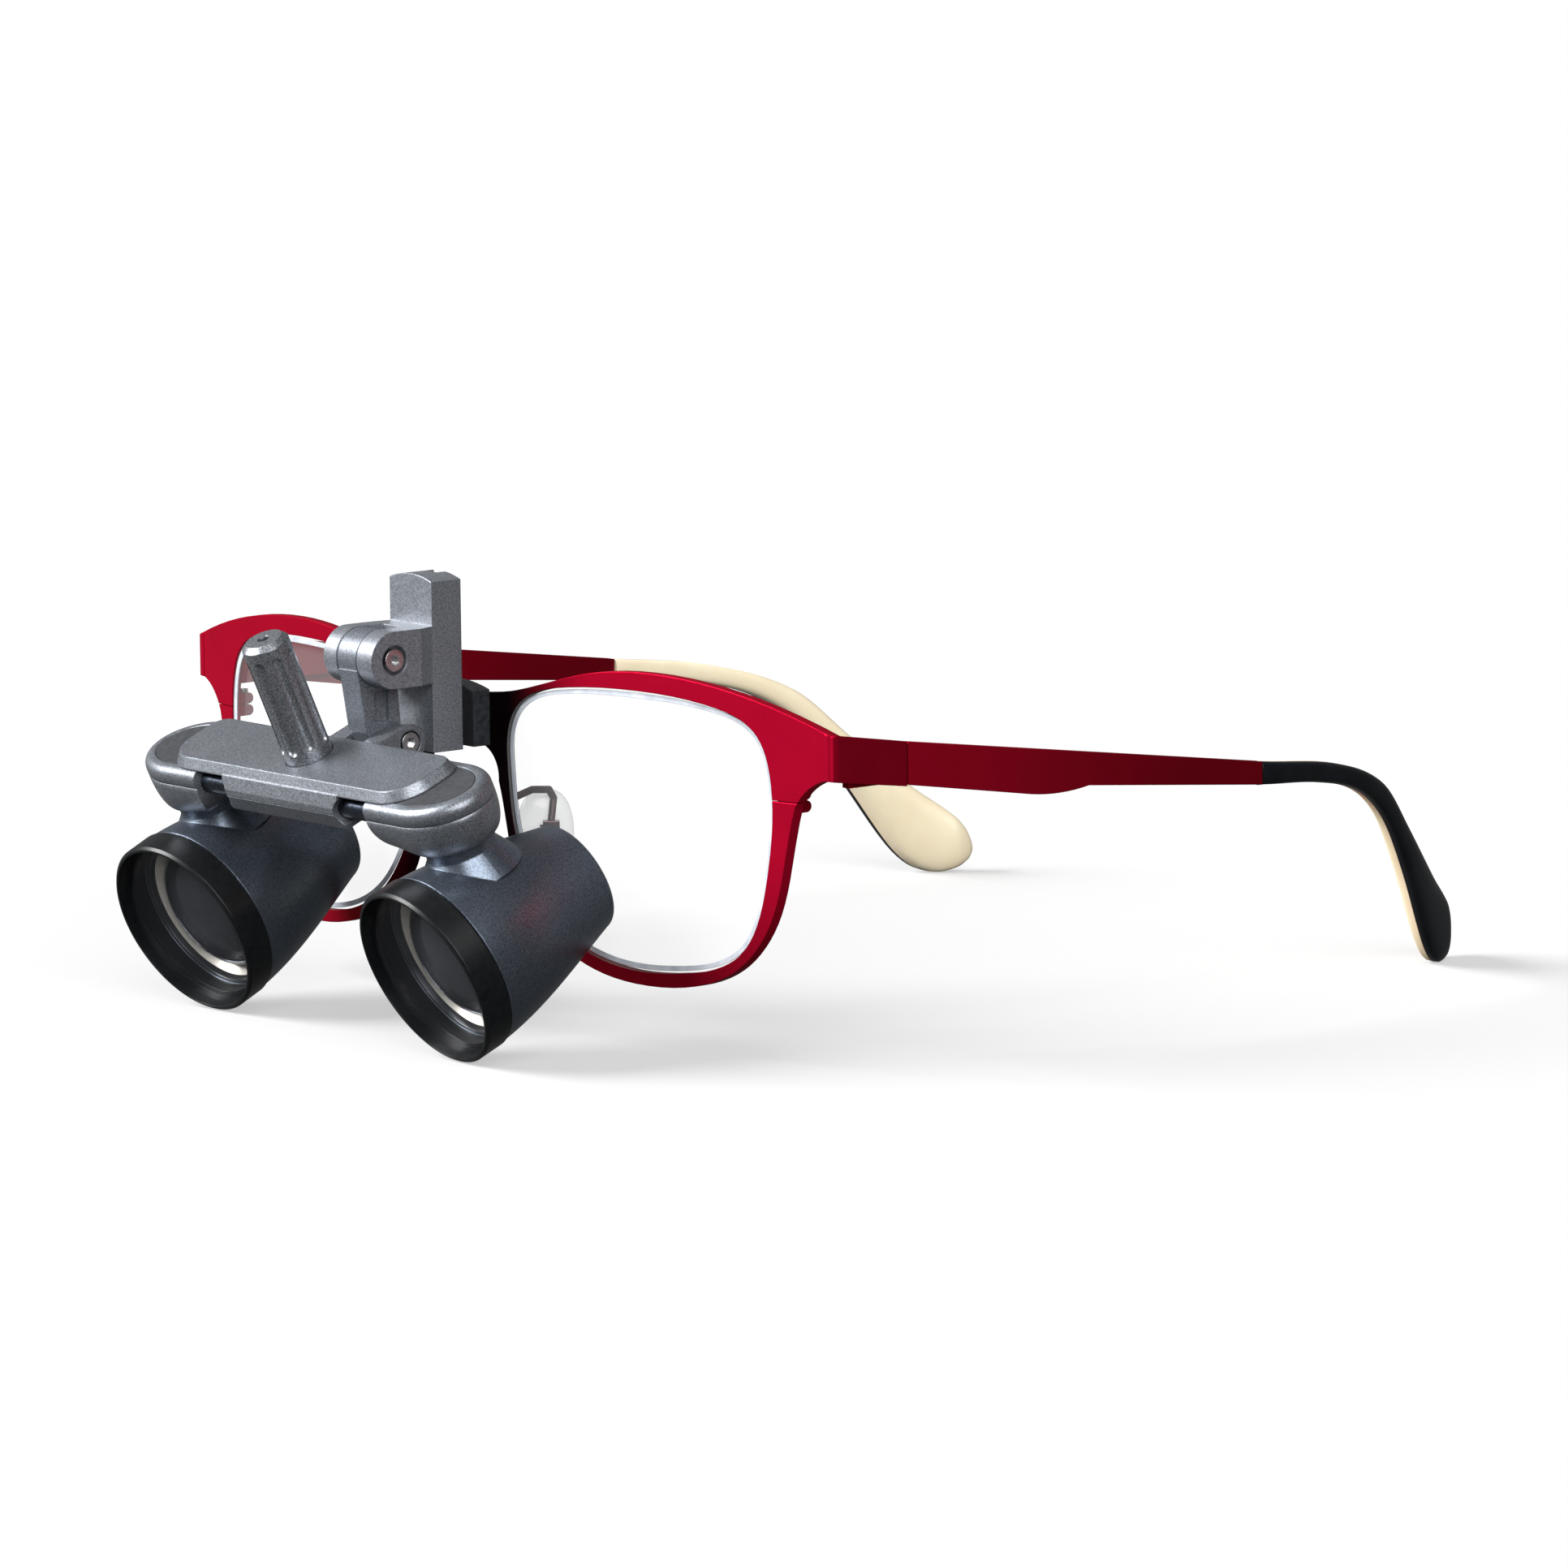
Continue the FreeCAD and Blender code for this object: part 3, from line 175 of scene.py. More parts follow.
# The deeper red is painted shade, on the lower rims and the side walls of the front.
CRIMSON, SHADED_RED = (0.40, 0.0025, 0.022), (0.26, 0.0025, 0.014)
TEMPLE_FRONT_RED, TEMPLE_BACK_RED = (0.30, 0.003, 0.015), (0.15, 0.002, 0.008)
# Painted shade: the bridge is painted near-black where it lies in shade.
BRIDGE_SHADE_BLACK = (0.004, 0.002, 0.003)
SHADED_BRIDGE, RED_RIMS = 10.0, 29.0         # painted shade: the front fades from black at the bridge to red, from the middle
RIMS_LIT, RIMS_SHADED = 28.0, 8.0             # heights between which painted shade makes the rims darker towards the bottom
SHADED_SIDE_WALL = (-41.3, -39.8)      # where the front turns back into the endpieces' sides, which get painted shade
TEMPLE_FADE = (-28.0, 25.0)


def clouded(material, colour, size):
    """The colour with slow, faint unevenness, as polished lacquer has."""
    cloud = ramp(material, noise(material, size), [(0.3, (0.92, 0.92, 0.92)), (0.7, (1, 1, 1))])
    paint(material, mixed(material, 1.0, colour, cloud, "MULTIPLY"))
    return grain(material, 0.3, 0.002, 0.2)


def front_lacquer_and_shade():
    """Crimson lacquer with painted shade: black at the bridge, deeper red on the lower rims and
    the side walls.
    """
    material = new_material("front_lacquer_and_shade", CRIMSON, 0.34, 0.6, Specular_IOR_Level=0.1,
                            Specular_Tint=(0.6, 0.02, 0.06, 1))
    # painted shade: black at the bridge, full red further out
    sides = span(material, away(material), SHADED_BRIDGE, RED_RIMS)
    # painted shade: the rims darker towards the bottom
    low = span(material, along(material, "Z"), RIMS_LIT, RIMS_SHADED)
    # painted shade on the side walls
    wall_shade = span(material, along(material, "Y"), *SHADED_SIDE_WALL)
    red = mixed(material, low, CRIMSON, SHADED_RED)
    red = mixed(material, wall_shade, red, SHADED_RED)
    return clouded(material, mixed(material, sides, BRIDGE_SHADE_BLACK, red), 5.0)


def temple_lacquer():
    """Deep red lacquer that darkens towards the ear."""
    material = new_material("temple_lacquer", SHADED_RED, 0.36, 0.5, Specular_IOR_Level=0.15,
                            Specular_Tint=(0.5, 0.02, 0.05, 1))
    back = span(material, along(material, "Y"), *TEMPLE_FADE)
    return clouded(material, mixed(material, back, TEMPLE_FRONT_RED, TEMPLE_BACK_RED), 6.0)


def mottled(name, dark, light, rough, size, relief, metal=0.0, edge=0.15, **more):
    """A plain finish with slight unevenness of tone and relief."""
    material = new_material(name, light, rough, metal, **more)
    paint(material, ramp(material, noise(material, size), [(0.3, dark), (0.7, light)]))
    return grain(material, size / 4, relief, edge)


def clear_lens():
    """Plain lens glass, nearly invisible."""
    material = new_material("clear_lens", (0.93, 0.95, 0.96), 0.02, 0.0, Alpha=0.05)
    paint(material, ramp(material, noise(material, 20.0),
                         [(0.3, (0.92, 0.94, 0.95)), (0.7, (0.95, 0.97, 0.98))]))
    return material


def coated_glass(name, tint, body):
    """Coated glass: mostly clear, with a thin veil of reflection."""
    material = new_material(name, tint, 0.03, 0.0, Alpha=body, Coat_Weight=1.0)
    paint(material, ramp(material, noise(material, 12.0),
                         [(0.3, tint), (0.7, tuple(0.9 * part for part in tint))]))
    return material


MATERIALS = {
    "front_lacquer_and_shade": front_lacquer_and_shade(),
    "temple_lacquer": temple_lacquer(),
    "grey_paint": speckled("grey_paint", (0.12, 0.13, 0.147), (0.25, 0.268, 0.295), 0.38, 0.7,
                           relief=0.02),
    "post_paint": speckled("post_paint", (0.15, 0.16, 0.18), (0.28, 0.30, 0.33), 0.36, 0.6),
    "link_paint": speckled("link_paint", (0.10, 0.112, 0.13), (0.21, 0.23, 0.26), 0.36, 0.6),
    "barrel_paint": speckled("barrel_paint", (0.085, 0.102, 0.128), (0.16, 0.19, 0.235), 0.32,
                             0.85, relief=0.006),
    "lever_metal": speckled("lever_metal", (0.13, 0.138, 0.15), (0.36, 0.38, 0.41), 0.34, 0.8,
                            relief=0.015),
    "inlay_slate": mottled("inlay_slate", (0.035, 0.037, 0.042), (0.055, 0.058, 0.064), 0.5, 0.8,
                           0.006, 0.4),
    "saddle_paint": mottled("saddle_paint", (0.02, 0.022, 0.026), (0.05, 0.053, 0.06), 0.4, 0.8,
                            0.006, 0.5),
    # Near-black of the black plastic liner and washers; on the slide liner it is also painted
    # shade in the strip beside the post.
    "black_liner_and_shade": mottled("black_liner_and_shade", (0.004, 0.004, 0.005), (0.008, 0.008, 0.010), 0.5, 0.9,
                           0.004, Specular_IOR_Level=0.2),
    "satin_black": mottled("satin_black", (0.003, 0.0035, 0.004), (0.006, 0.007, 0.008), 0.3,
                           0.9, 0.003, Specular_IOR_Level=0.3),
    "tip_black": mottled("tip_black", (0.003, 0.004, 0.005), (0.006, 0.007, 0.009), 0.2, 4.0,
                         0.002, Specular_IOR_Level=0.3),
    "tip_cream": mottled("tip_cream", (0.84, 0.66, 0.44), (0.90, 0.73, 0.51), 0.38, 5.0, 0.002,
                         Subsurface_Weight=0.15),
    "rod_steel": mottled("rod_steel", (0.018, 0.024, 0.035), (0.05, 0.06, 0.08), 0.25, 0.6, 0.002,
                         0.9),
    "screw_steel": mottled("screw_steel", (0.42, 0.42, 0.43), (0.62, 0.62, 0.63), 0.24, 0.5,
                           0.002, 1.0),
    "pad_arm_metal": mottled("pad_arm_metal", (0.10, 0.03, 0.05), (0.30, 0.20, 0.20), 0.15, 1.2,
                             0.002, 1.0),
    "silicone": mottled("silicone", (0.72, 0.74, 0.73), (0.80, 0.82, 0.81), 0.18, 3.0, 0.004,
                        Alpha=0.38, Coat_Weight=0.6),
    "clear_lens": clear_lens(),
    "lens_edge": mottled("lens_edge", (0.36, 0.39, 0.44), (0.52, 0.55, 0.60), 0.3, 2.0, 0.001),
    "objective": coated_glass("objective", (0.02, 0.022, 0.028), 0.12),
    # Painted shade: the second lens is near-black for the dark depth of the barrel behind it.
    "shaded_inner_glass": mottled("shaded_inner_glass", (0.022, 0.023, 0.028), (0.034, 0.036, 0.043), 0.12,
                           5.0, 0.001),
    # Painted reflection: the seat's pale beige stands in for the bright crescent reflected inside
    # the objective.
    "seat_reflection_beige": mottled("seat_reflection_beige", (0.72, 0.69, 0.62), (0.86, 0.83, 0.76), 0.3, 2.0,
                             0.004, 0.3),
    "eyepiece": coated_glass("eyepiece", (0.08, 0.09, 0.12), 0.5),
    "baffle": mottled("baffle", (0.10, 0.11, 0.125), (0.20, 0.215, 0.235), 0.22, 3.0, 0.003,
                      0.9),
}
LOOK = [("frame_front", "front_lacquer_and_shade"), ("rim_lock_screws", "screw_steel"),
        ("rim_lock", "front_lacquer_and_shade"), ("lens_", "clear_lens"), ("nose_pad", "silicone"),
        ("pad_", "pad_arm_metal"), ("front_hinge", "temple_lacquer"),
        ("hinge_leaf", "temple_lacquer"), ("temple_", "temple_lacquer"),
        ("tip_shell", "tip_black"), ("tip_liner", "tip_cream"), ("objective", "objective"),
        ("eyepiece_ring", "satin_black"), ("eyepiece", "eyepiece"), ("front_ring", "satin_black"),
        ("barrel", "barrel_paint"), ("baffle", "baffle"), ("slide_liner", "black_liner_and_shade"),
        ("link_washers", "black_liner_and_shade"), ("clamp_plate", "saddle_paint"),
        ("bridge_saddle", "saddle_paint"), ("pod_inlay", "inlay_slate"),
        ("pod_screws", "screw_steel"), ("pod_", "grey_paint"), ("guide_rods", "rod_steel"),
        ("flip_link", "link_paint"), ("post", "post_paint"), ("carrier", "grey_paint"),
        ("lever_grip", "lever_metal"), ("", "screw_steel")]


def look_of(name):
    return MATERIALS[next(look for start, look in LOOK if name.startswith(start))]


def dress(piece, material):
    piece.data.materials.clear()
    piece.data.materials.append(material)


for name, part in NODES.items():
    dress(part, look_of(name))


# ------------------------------------------------------------------ new pieces
def new_piece(name, mesh, body, material, sharp=35.0):
    """Shows a mesh as a piece that rides on a body."""
    for face in mesh.polygons:
        face.use_smooth = True
    mesh.set_sharp_from_angle(angle=math.radians(sharp))
    piece = bpy.data.objects.new(name, mesh)
    bpy.context.scene.collection.objects.link(piece)
    dress(piece, material)
    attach(piece, body)
    return piece


def ring_points(count, radius_x, radius_z, power):
    """A closed superellipse as (x, z) pairs."""
    points = []
    for index in range(count):
        angle = math.tau * index / count
        x, z = math.cos(angle), math.sin(angle)
        points.append((math.copysign(abs(x) ** (2 / power), x) * radius_x,
                       math.copysign(abs(z) ** (2 / power), z) * radius_z))
    return points


def skin(name, loops):
    """A closed mesh through loops of equally many points."""
    work = bmesh.new()
    rows = [[work.verts.new(point) for point in loop] for loop in loops]
    count = len(rows[0])
    for low, high in zip(rows, rows[1:]):
        for index in range(count):
            after = (index + 1) % count
            work.faces.new((low[index], low[after], high[after], high[index]))
    work.faces.new(rows[0][::-1])
    work.faces.new(rows[-1])
    bmesh.ops.recalc_face_normals(work, faces=work.faces)
    mesh = bpy.data.meshes.new(name)
    work.to_mesh(mesh)
    work.free()
    return mesh


PAD_TURN = math.radians(35.0)
PAD_HALF_THICK, PAD_HALF_WIDE, PAD_HALF_TALL = 1.3, 3.85, 6.6
PAD_RINGS, PAD_CORNERS = 12, 48
PAD_OUTLINE, PAD_DOME = 2.5, 0.42       # powers: squareness of the outline, fullness of the edge


def nose_pad(side):
    """A soft oval pad, domed on both faces."""
    name = f"nose_pad_{SIDES[side]}"
    low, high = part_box(name)
    middle = (Vector(low) + Vector(high)) / 2
    turn = Matrix.Translation(middle) @ Matrix.Rotation(-side * PAD_TURN, 4, "Z")
    outline = ring_points(PAD_CORNERS, PAD_HALF_WIDE * MM, PAD_HALF_TALL * MM, PAD_OUTLINE)
    loops = []
    for step in range(1, PAD_RINGS):
        angle = math.pi * step / PAD_RINGS
        size = math.sin(angle) ** PAD_DOME
        depth = -math.cos(angle) * PAD_HALF_THICK * MM
        loops.append([turn @ Vector((depth, x * size, z * size)) for x, z in outline])
    piece = new_piece(f"{name}_soft", skin(name, loops), f"pad_{SIDES[side]}",
                      MATERIALS["silicone"], 180.0)
    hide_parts(name)


WELD = 0.0005               # corners nearer than this are one
FACING = 0.7                # cosine from which a face counts as looking that way
# The corners of the lens band's section: inward from the outline, forward of the lens.
BAND_SECTION = ((0.3, 0.02), (1.0, 0.02), (1.0, -0.1), (0.3, -0.1))


def boundary_loop(mesh, towards):
    """The outline of a mesh's faces that look one way, in order round it."""
    work = bmesh.new()
    work.from_mesh(mesh)
    bmesh.ops.remove_doubles(work, verts=work.verts, dist=WELD * MM)
    work.normal_update()
    chosen = {face for face in work.faces if face.normal.dot(towards) > FACING}
    edge_ends = {}
    for edge in work.edges:
        if sum(face in chosen for face in edge.link_faces) == 1:
            first, second = edge.verts
            edge_ends.setdefault(first.index, []).append(second.index)
            edge_ends.setdefault(second.index, []).append(first.index)
    work.verts.ensure_lookup_table()
    start = next(iter(edge_ends))
    order = [start]
    while True:
        following = [index for index in edge_ends[order[-1]] if index not in order[-2:]]
        if not following or following[0] == start:
            break
        order.append(following[0])
    points = [work.verts[index].co.copy() for index in order]
    work.free()
    return points


def lens_band(side):
    """The pale bevelled edge of a lens, just inside its rim."""
    name = f"lens_{SIDES[side]}"
    outline = boundary_loop(NODES[name].data, Vector((0, -1, 0)))
    middle = sum(outline, Vector()) / len(outline)
    loops = []
    for inward, forward in BAND_SECTION:
        loop = []
        for point in outline:
            flat = middle - point
            flat.y = 0
            loop.append(point + flat.normalized() * inward * MM + Vector((0, -forward * MM, 0)))
        loops.append(loop)
    work = bmesh.new()
    rows = [[work.verts.new(point) for point in loop] for loop in loops]
    count = len(outline)
    for index in range(count):
        after = (index + 1) % count
        for low, high in zip(rows, rows[1:] + rows[:1]):
            work.faces.new((low[index], low[after], high[after], high[index]))
    bmesh.ops.recalc_face_normals(work, faces=work.faces)
    mesh = bpy.data.meshes.new(name + "_band")
    work.to_mesh(mesh)
    work.free()
    new_piece(f"{name}_band", mesh, "front", MATERIALS["lens_edge"])


# Temples: the tips are moulded in two layers round the bar's end.
HINGE = Vector((67.6, -28.76, 0.0)) * MM
SPLAY = math.radians(0.9)
TIP_TOP = [(60.6, 34.35), (76.6, 32.2), (88.0, 28.1), (95.5, 21.0), (104.0, 12.8), (108.2, 9.3),
           (110.4, 6.9), (111.5, 4.6), (111.8, 3.2)]
TIP_LOW = [(60.6, 31.2), (72.0, 30.2), (82.0, 27.7), (89.0, 22.9), (95.0, 14.7), (101.2, 4.4),
           (104.0, 1.2), (106.6, 0.05), (109.2, 0.5), (111.0, 1.7), (111.8, 3.0)]
TIP_FIRST, TIP_LAST = 60.65, 111.7          # the first and the last ring of a layer
TIP_RINGS, TIP_CORNERS = 60, 18
TIP_CROWDING = 1.6                          # power that brings the rings closer at the end
BEND_FROM, BEND_OFFSET = 56.0, 2.1          # where the inward bend starts, and how far out
BEND_SQUARE, BEND_CUBE = 0.00766, 0.0000238
TIP_NOSE, NOSE_RUN, NOSE_POWER = 60.3, 0.9, 0.3     # a layer thickens from its front end
TIP_HEEL, HEEL_RUN, HEEL_POWER = 111.9, 3.0, 0.5    # and thins towards its back end
LEAST_TALL, LEAST_SHARE = 0.3, 0.15
LAYER_GAP = 0.01
RISE_POWER, SWELL_POWER = 0.8, 0.5          # powers: roundness of a layer's section
LAYER_THICK, SHELL_GROWTH, LINER_GROWTH = 1.1, 0.018, 0.033


def height_at(outline, back):
    """The outline's height at a distance back, on a smooth curve through its points."""
    points = [outline[0]] + outline + [outline[-1]]
    for before, start, end, after in zip(points, points[1:], points[2:], points[3:]):
        if start[0] <= back <= end[0] and end[0] > start[0]:
            part = (back - start[0]) / (end[0] - start[0])
            run = end[0] - start[0]
            slope_in = (end[1] - before[1]) / (end[0] - before[0]) * run
            slope_out = (after[1] - start[1]) / (after[0] - start[0]) * run
            cube, square = part ** 3, part ** 2
            return ((2 * cube - 3 * square + 1) * start[1] + (cube - 2 * square + part) * slope_in
                    + (3 * square - 2 * cube) * end[1] + (cube - square) * slope_out)
    return outline[-1][1]


def tip_layer(side, layer, outward, growth, material):
    """Half of a tip: flat where it meets the other layer, rounded on its own side."""
    name = f"{layer}_{SIDES[side]}"
    frame_turn = (Matrix.Translation(Vector((side * HINGE.x, HINGE.y, 0)))
                  @ Matrix.Rotation(-side * SPLAY, 4, "Z"))
    loops = []
    for step in range(TIP_RINGS + 1):
        part = step / TIP_RINGS
        back = TIP_FIRST + (TIP_LAST - TIP_FIRST) * (1 - (1 - part) ** TIP_CROWDING)
        run = back - BEND_FROM
        middle = BEND_OFFSET - run ** 2 * (BEND_SQUARE - BEND_CUBE * run)
        top, low = height_at(TIP_TOP, back), height_at(TIP_LOW, back)
        half, level = max(top - low, LEAST_TALL) / 2, (top + low) / 2
        heel = min(1.0, (TIP_HEEL - back) / HEEL_RUN) ** HEEL_POWER
        nose = min(1.0, (back - TIP_NOSE) / NOSE_RUN) ** NOSE_POWER
        thick = (LAYER_THICK + growth * run) * max(heel * nose, LEAST_SHARE)
        loop = []
        for corner in range(TIP_CORNERS):
            angle = math.pi * corner / (TIP_CORNERS - 1) - math.pi / 2
            up = math.copysign(abs(math.sin(angle)) ** RISE_POWER, math.sin(angle))
            out = max(math.cos(angle), 0.0) ** SWELL_POWER
            across = middle + outward * (LAYER_GAP + thick * out)
            loop.append(frame_turn @ (Vector((side * across, back, level + half * up)) * MM))
        loops.append(loop)
    piece = new_piece(f"{name}_soft", skin(name, loops), BODY[name],
                      MATERIALS[material], 50.0)
    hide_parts(name)


# The carrier's own frame: tipped about X, origin at the lever's foot.
TILT = math.radians(23.8)
CARRIER = (Matrix.Translation(Vector((0.0, -73.41, 37.9)) * MM) @ Matrix.Rotation(TILT, 4, "X"))
POD_INNER, POD_SHOULDER, POD_MIDDLE, POD_ROW = 19.1, 26.6, 27.8, -0.1
POD_REACH, POD_HALF = 8.9, 6.9
POD_TOP, PARTING, NECK_TOP = -1.15, -3.5, -8.85
INLAY_EDGE, INLAY_FLOOR = 1.9, -1.65
INLAY_INNER, INLAY_BREAK = 20.6, 0.1
STRAIGHT_STEPS, TURN_STEPS = 8, 40
SHELL_BREAK, PARTING_LIFT, PARTING_GAP = 0.12, 0.2, 0.03
SHOULDER_FROM, SHOULDER_IN, SHOULDER_STEPS = -2.5, 1.35, 8
FUNNEL_STEPS, FUNNEL_POWER, FUNNEL_SPARE, NECK_RADIUS = 14, 0.9, 0.25, 5.0


def pod_plan(side, shrink, level, inner=POD_INNER):
    """A pod's outline at one level: straight sides and an elliptical end."""
    half, reach = POD_HALF - shrink, POD_REACH - shrink
    straight = POD_SHOULDER - inner
    points = [(inner + straight * step / STRAIGHT_STEPS, -half) for step in range(STRAIGHT_STEPS)]
    for step in range(TURN_STEPS + 1):
        angle = math.pi * step / TURN_STEPS
        points.append((POD_SHOULDER + reach * math.sin(angle), -half * math.cos(angle)))
    points += [(POD_SHOULDER - straight * step / STRAIGHT_STEPS, half)
               for step in range(1, STRAIGHT_STEPS + 1)]
    return [CARRIER @ (Vector((side * x, POD_ROW + y, level)) * MM) for x, y in points]


def towards_neck(side, loop, part, level):
    """The loop drawn in by part of the way to the neck's round, at a level."""
    centre = Vector((side * POD_MIDDLE, POD_ROW, 0))
    drawn = []
    for point in loop:
        flat = CARRIER.inverted() @ point / MM
        flat.z = 0
        ray = (flat - centre).normalized()
        end = centre + ray * NECK_RADIUS
        place_at = flat.lerp(end, part)
        drawn.append(CARRIER @ (Vector((place_at.x, place_at.y, level)) * MM))
    return drawn


def pod(side):
    """A sliding head: the upper shell with the inlay's recess, the lower with the funnel."""
    word = SIDES[side]
    upper, lower = f"pod_upper_{word}", f"pod_lower_{word}"
    loops = [pod_plan(side, SHELL_BREAK, PARTING + PARTING_GAP),
             pod_plan(side, 0.0, PARTING + PARTING_LIFT)]
    for step in range(SHOULDER_STEPS + 1):
        angle = math.pi / 2 * step / SHOULDER_STEPS
        rise = (POD_TOP - SHOULDER_FROM) * math.sin(angle)
        loops.append(pod_plan(side, SHOULDER_IN * (1 - math.cos(angle)), SHOULDER_FROM + rise))
    loops.append(pod_plan(side, INLAY_EDGE - SHELL_BREAK, POD_TOP, INLAY_INNER - INLAY_BREAK))
    loops.append(pod_plan(side, INLAY_EDGE, POD_TOP - SHELL_BREAK, INLAY_INNER))
    loops.append(pod_plan(side, INLAY_EDGE, INLAY_FLOOR, INLAY_INNER))
    piece = new_piece(f"{upper}_shaped", skin(upper, loops), BODY[upper],
                      MATERIALS["grey_paint"], 40.0)
    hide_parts(upper)

    rim = pod_plan(side, 0.0, PARTING)
    loops = [pod_plan(side, SHELL_BREAK, PARTING - PARTING_GAP),
             pod_plan(side, 0.0, PARTING - PARTING_LIFT)]
    drop = PARTING - NECK_TOP - FUNNEL_SPARE
    for step in range(1, FUNNEL_STEPS + 1):
        angle = math.pi / 2 * step / FUNNEL_STEPS
        drawn = 1 - math.cos(angle) ** FUNNEL_POWER
        level = PARTING - PARTING_LIFT - drop * math.sin(angle)
        loops.append(towards_neck(side, rim, drawn, level))
    piece = new_piece(f"{lower}_shaped", skin(lower, loops), BODY[lower],
                      MATERIALS["grey_paint"], 40.0)
    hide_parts(lower)


TURNED_STEPS = 96
DOME_RADIUS, DOME_EDGE, DOME_RISE, DOME_STEPS, INNER_BACK = 9.3, 4.6, 3.4, 12, 5.6
SEAT_SECTION = [(9.35, 4.5), (10.4, 3.4), (10.5, 3.6), (10.5, 4.8), (9.35, 4.8)]


def telescope_frame(word):
    """Origin at the objective's middle, z back along the optical axis."""
    ends = []
    for part in ("objective", "eyepiece"):
        low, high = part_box(f"{part}_{word}")
        ends.append((Vector(low) + Vector(high)) / 2)
    turn = (ends[1] - ends[0]).to_track_quat("Z", "Y").to_matrix().to_4x4()
    return Matrix.Translation(ends[0]) @ turn


def turned(name, word, profile, material):
    """A turned piece inside a telescope: profile is (radius, depth) in millimetres."""
    frame_turn = telescope_frame(word)
    angles = [math.tau * step / TURNED_STEPS for step in range(TURNED_STEPS)]
    loops = [[frame_turn @ (Vector((radius * math.cos(angle), radius * math.sin(angle), depth))
                            * MM) for angle in angles] for radius, depth in profile]
    new_piece(f"{name}_{word}", skin(name, loops), f"telescope_{word}",
              MATERIALS[material], 40.0)


def inner_optics(word):
    """The second lens, strongly domed and near-black as painted shade, in a pale beige seat that
    is a painted reflection, behind the objective.
    """
    dome = []
    for step in range(1, DOME_STEPS + 1):
        angle = math.pi / 2 * step / DOME_STEPS
        dome.append((DOME_RADIUS * math.sin(angle), DOME_EDGE - DOME_RISE * math.cos(angle)))
    turned("inner_lens", word, dome + [(DOME_RADIUS, INNER_BACK)], "shaded_inner_glass")
    turned("inner_seat", word, SEAT_SECTION, "seat_reflection_beige")


for each_side, each_word in SIDES.items():
    nose_pad(each_side)
    lens_band(each_side)
    tip_layer(each_side, "tip_shell", 1, SHELL_GROWTH, "tip_black")
    tip_layer(each_side, "tip_liner", -1, LINER_GROWTH, "tip_cream")
    pod(each_side)
    inner_optics(each_word)


# --------------------------------------------------------------------- studio
BRIGHT_SIDE = (-0.75, -0.6, 0.45)
WORLD_LOW, WORLD_HIGH, KEY, FILL = 1.45, 4.5, 8.0, 3.6
WORLD_TURNS_AT, WORLD_FULL_AT = -0.7, 1.0       # cosines from the bright side
KEY_FROM, KEY_SPREAD = (-0.75, -0.9, 0.75), 35.0
FILL_FROM, FILL_SPREAD = (1.0, -0.5, 0.6), 50.0
FLOOR_HALF, FLOOR_DROP, FLOOR_GLOW = 6.0, 0.05, 0.5
FLOOR_GREY = (0.25, 0.25, 0.25)
FLOOR_SHADES = [(0.3, (0.248, 0.248, 0.248)), (0.7, (0.252, 0.252, 0.252))]


def studio_floor():
    """A pale floor that gives no bounce light, so undersides stay dark."""
    mesh = bpy.data.meshes.new("floor")
    half = FLOOR_HALF
    mesh.from_pydata([(-half, -half, 0), (half, -half, 0), (half, half, 0), (-half, half, 0)],
                     [], [(0, 1, 2, 3)])
    floor = bpy.data.objects.new("floor", mesh)
    bpy.context.scene.collection.objects.link(floor)
    floor.location.z = -FLOOR_DROP * MM
    material = new_material("floor", FLOOR_GREY, 0.9, Emission_Color=(1, 1, 1, 1),
                            Emission_Strength=FLOOR_GLOW, Specular_IOR_Level=0.0)
    paint(material, ramp(material, noise(material, 400.0), FLOOR_SHADES))
    dress(floor, material)
    floor.visible_diffuse = False
    floor.visible_glossy = False


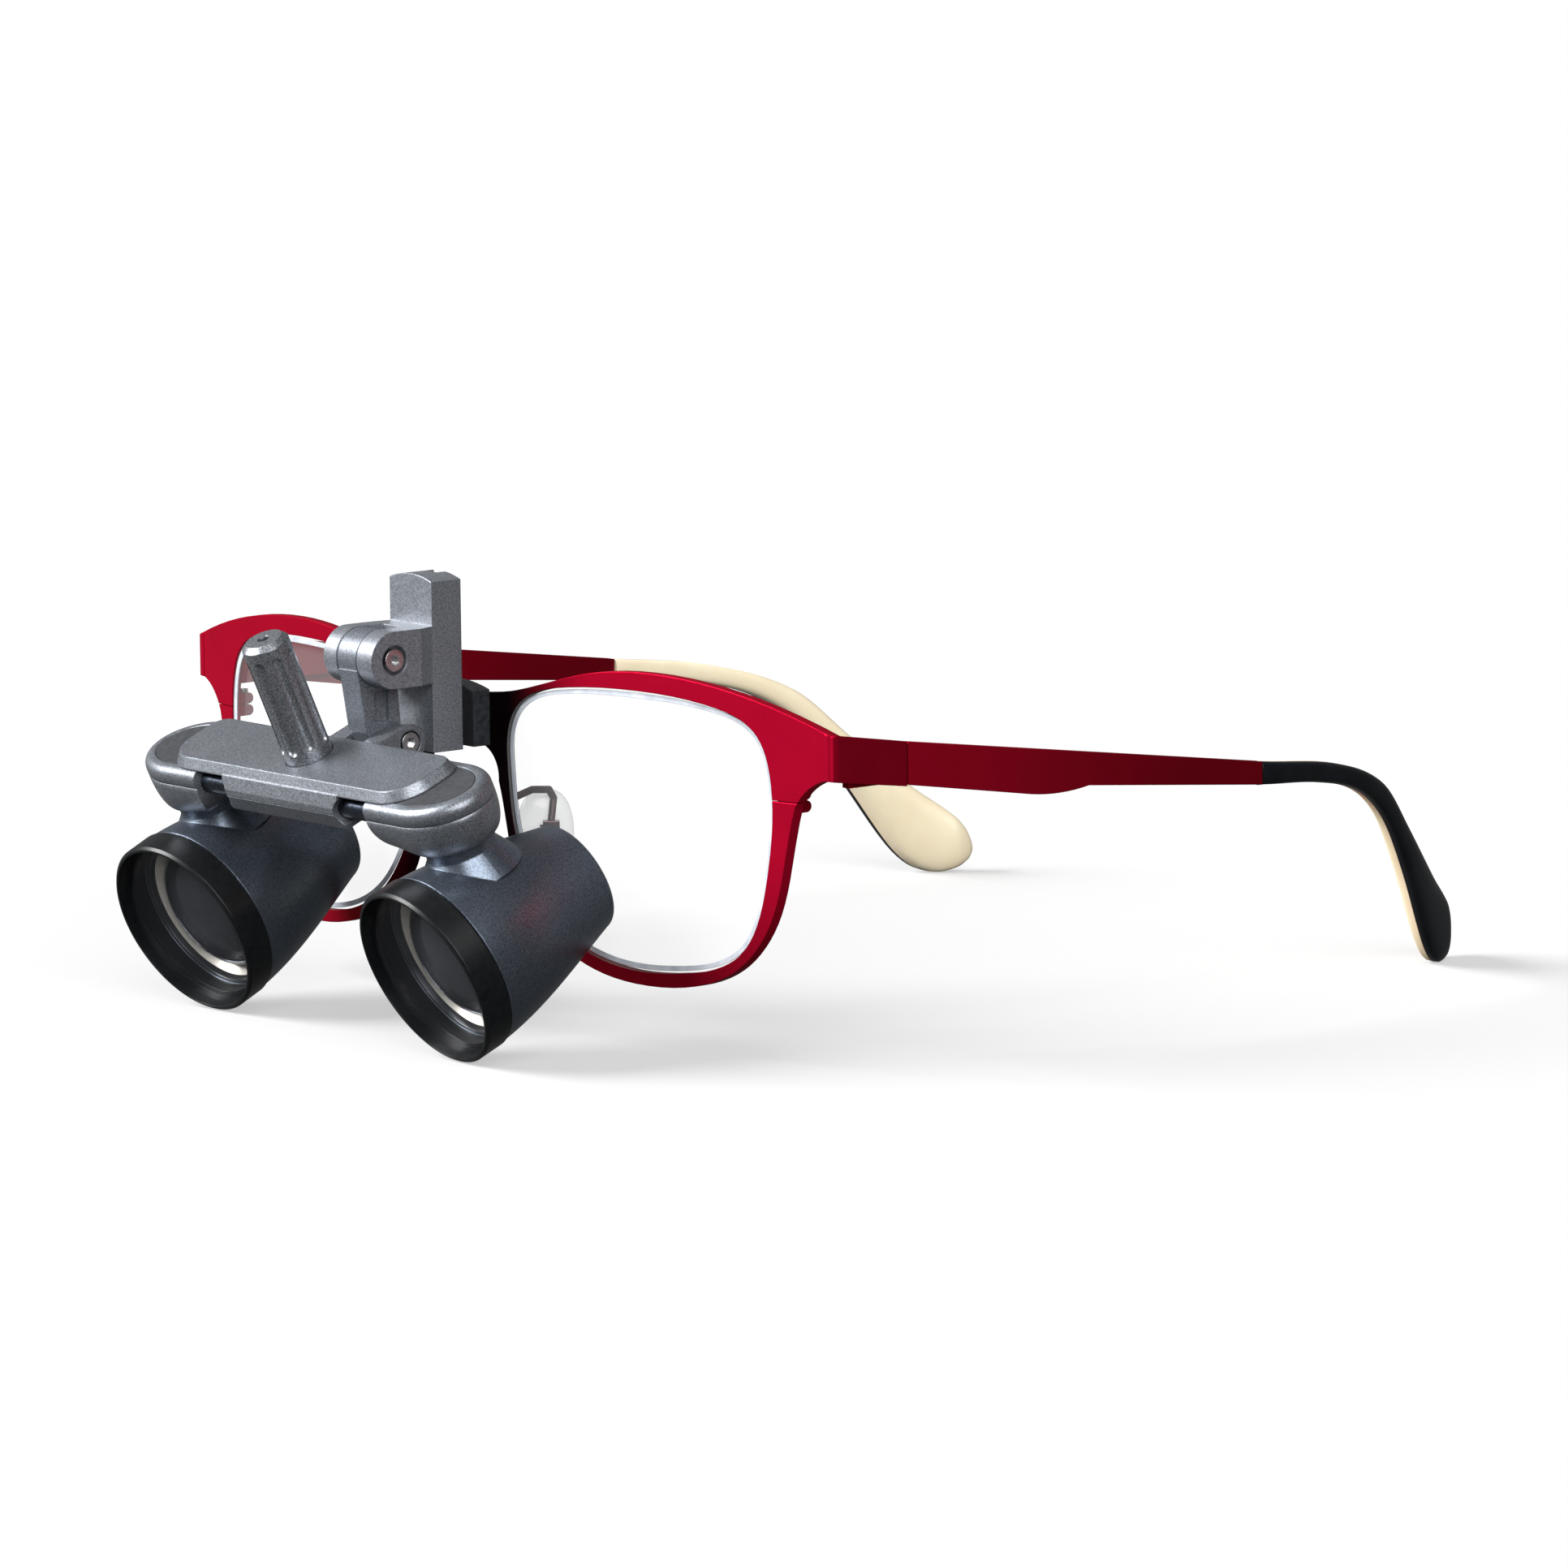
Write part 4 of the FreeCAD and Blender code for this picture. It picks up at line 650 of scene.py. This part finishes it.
def sun_light(name, comes_from, strength, spread):
    data = bpy.data.lights.new(name, "SUN")
    data.energy = strength
    data.angle = math.radians(spread)
    lamp = bpy.data.objects.new(name, data)
    lamp.rotation_mode = "QUATERNION"
    lamp.rotation_quaternion = Vector(comes_from).to_track_quat("Z", "Y")
    bpy.context.scene.collection.objects.link(lamp)


def studio_light():
    """A room brightest on one side, a broad key from there and a fill from the other."""
    world = bpy.data.worlds.new("studio")
    world.use_nodes = True
    background = world.node_tree.nodes["Background"]
    towards = node(world, "ShaderNodeVectorMath", operation="DOT_PRODUCT")
    link(world, node(world, "ShaderNodeTexCoord").outputs["Generated"], towards.inputs[0])
    towards.inputs[1].default_value = Vector(BRIGHT_SIDE).normalized()
    rise = node(world, "ShaderNodeMapRange")
    link(world, towards.outputs["Value"], rise.inputs["Value"])
    for socket, value in (("From Min", WORLD_TURNS_AT), ("From Max", WORLD_FULL_AT),
                          ("To Min", WORLD_LOW), ("To Max", WORLD_HIGH)):
        rise.inputs[socket].default_value = value
    link(world, rise.outputs[0], background.inputs["Strength"])
    bpy.context.scene.world = world
    bpy.context.scene.view_settings.view_transform = "Standard"
    sun_light("key", KEY_FROM, KEY, KEY_SPREAD)
    sun_light("fill", FILL_FROM, FILL, FILL_SPREAD)


CAMERA_AT = Vector((1.02587, -0.81425, 0.21995))
CAMERA_LOOKS = Vector((-0.77232, 0.61825, -0.14592))
CAMERA_ROLL = math.radians(-0.63)
CAMERA_LENS, CAMERA_SENSOR = 221.3, 36.0
CAMERA_NEAR, CAMERA_FAR = 0.05, 50.0


def camera():
    """The photograph's view."""
    data = bpy.data.cameras.new("camera")
    data.sensor_width = CAMERA_SENSOR
    data.lens = CAMERA_LENS
    data.clip_start = CAMERA_NEAR
    data.clip_end = CAMERA_FAR
    made = bpy.data.objects.new("camera", data)
    made.location = CAMERA_AT
    made.rotation_mode = "QUATERNION"
    level = CAMERA_LOOKS.to_track_quat("-Z", "Y")
    made.rotation_quaternion = level @ Quaternion((0, 0, 1), CAMERA_ROLL)
    bpy.context.scene.collection.objects.link(made)
    bpy.context.scene.camera = made


studio_floor()
studio_light()
camera()
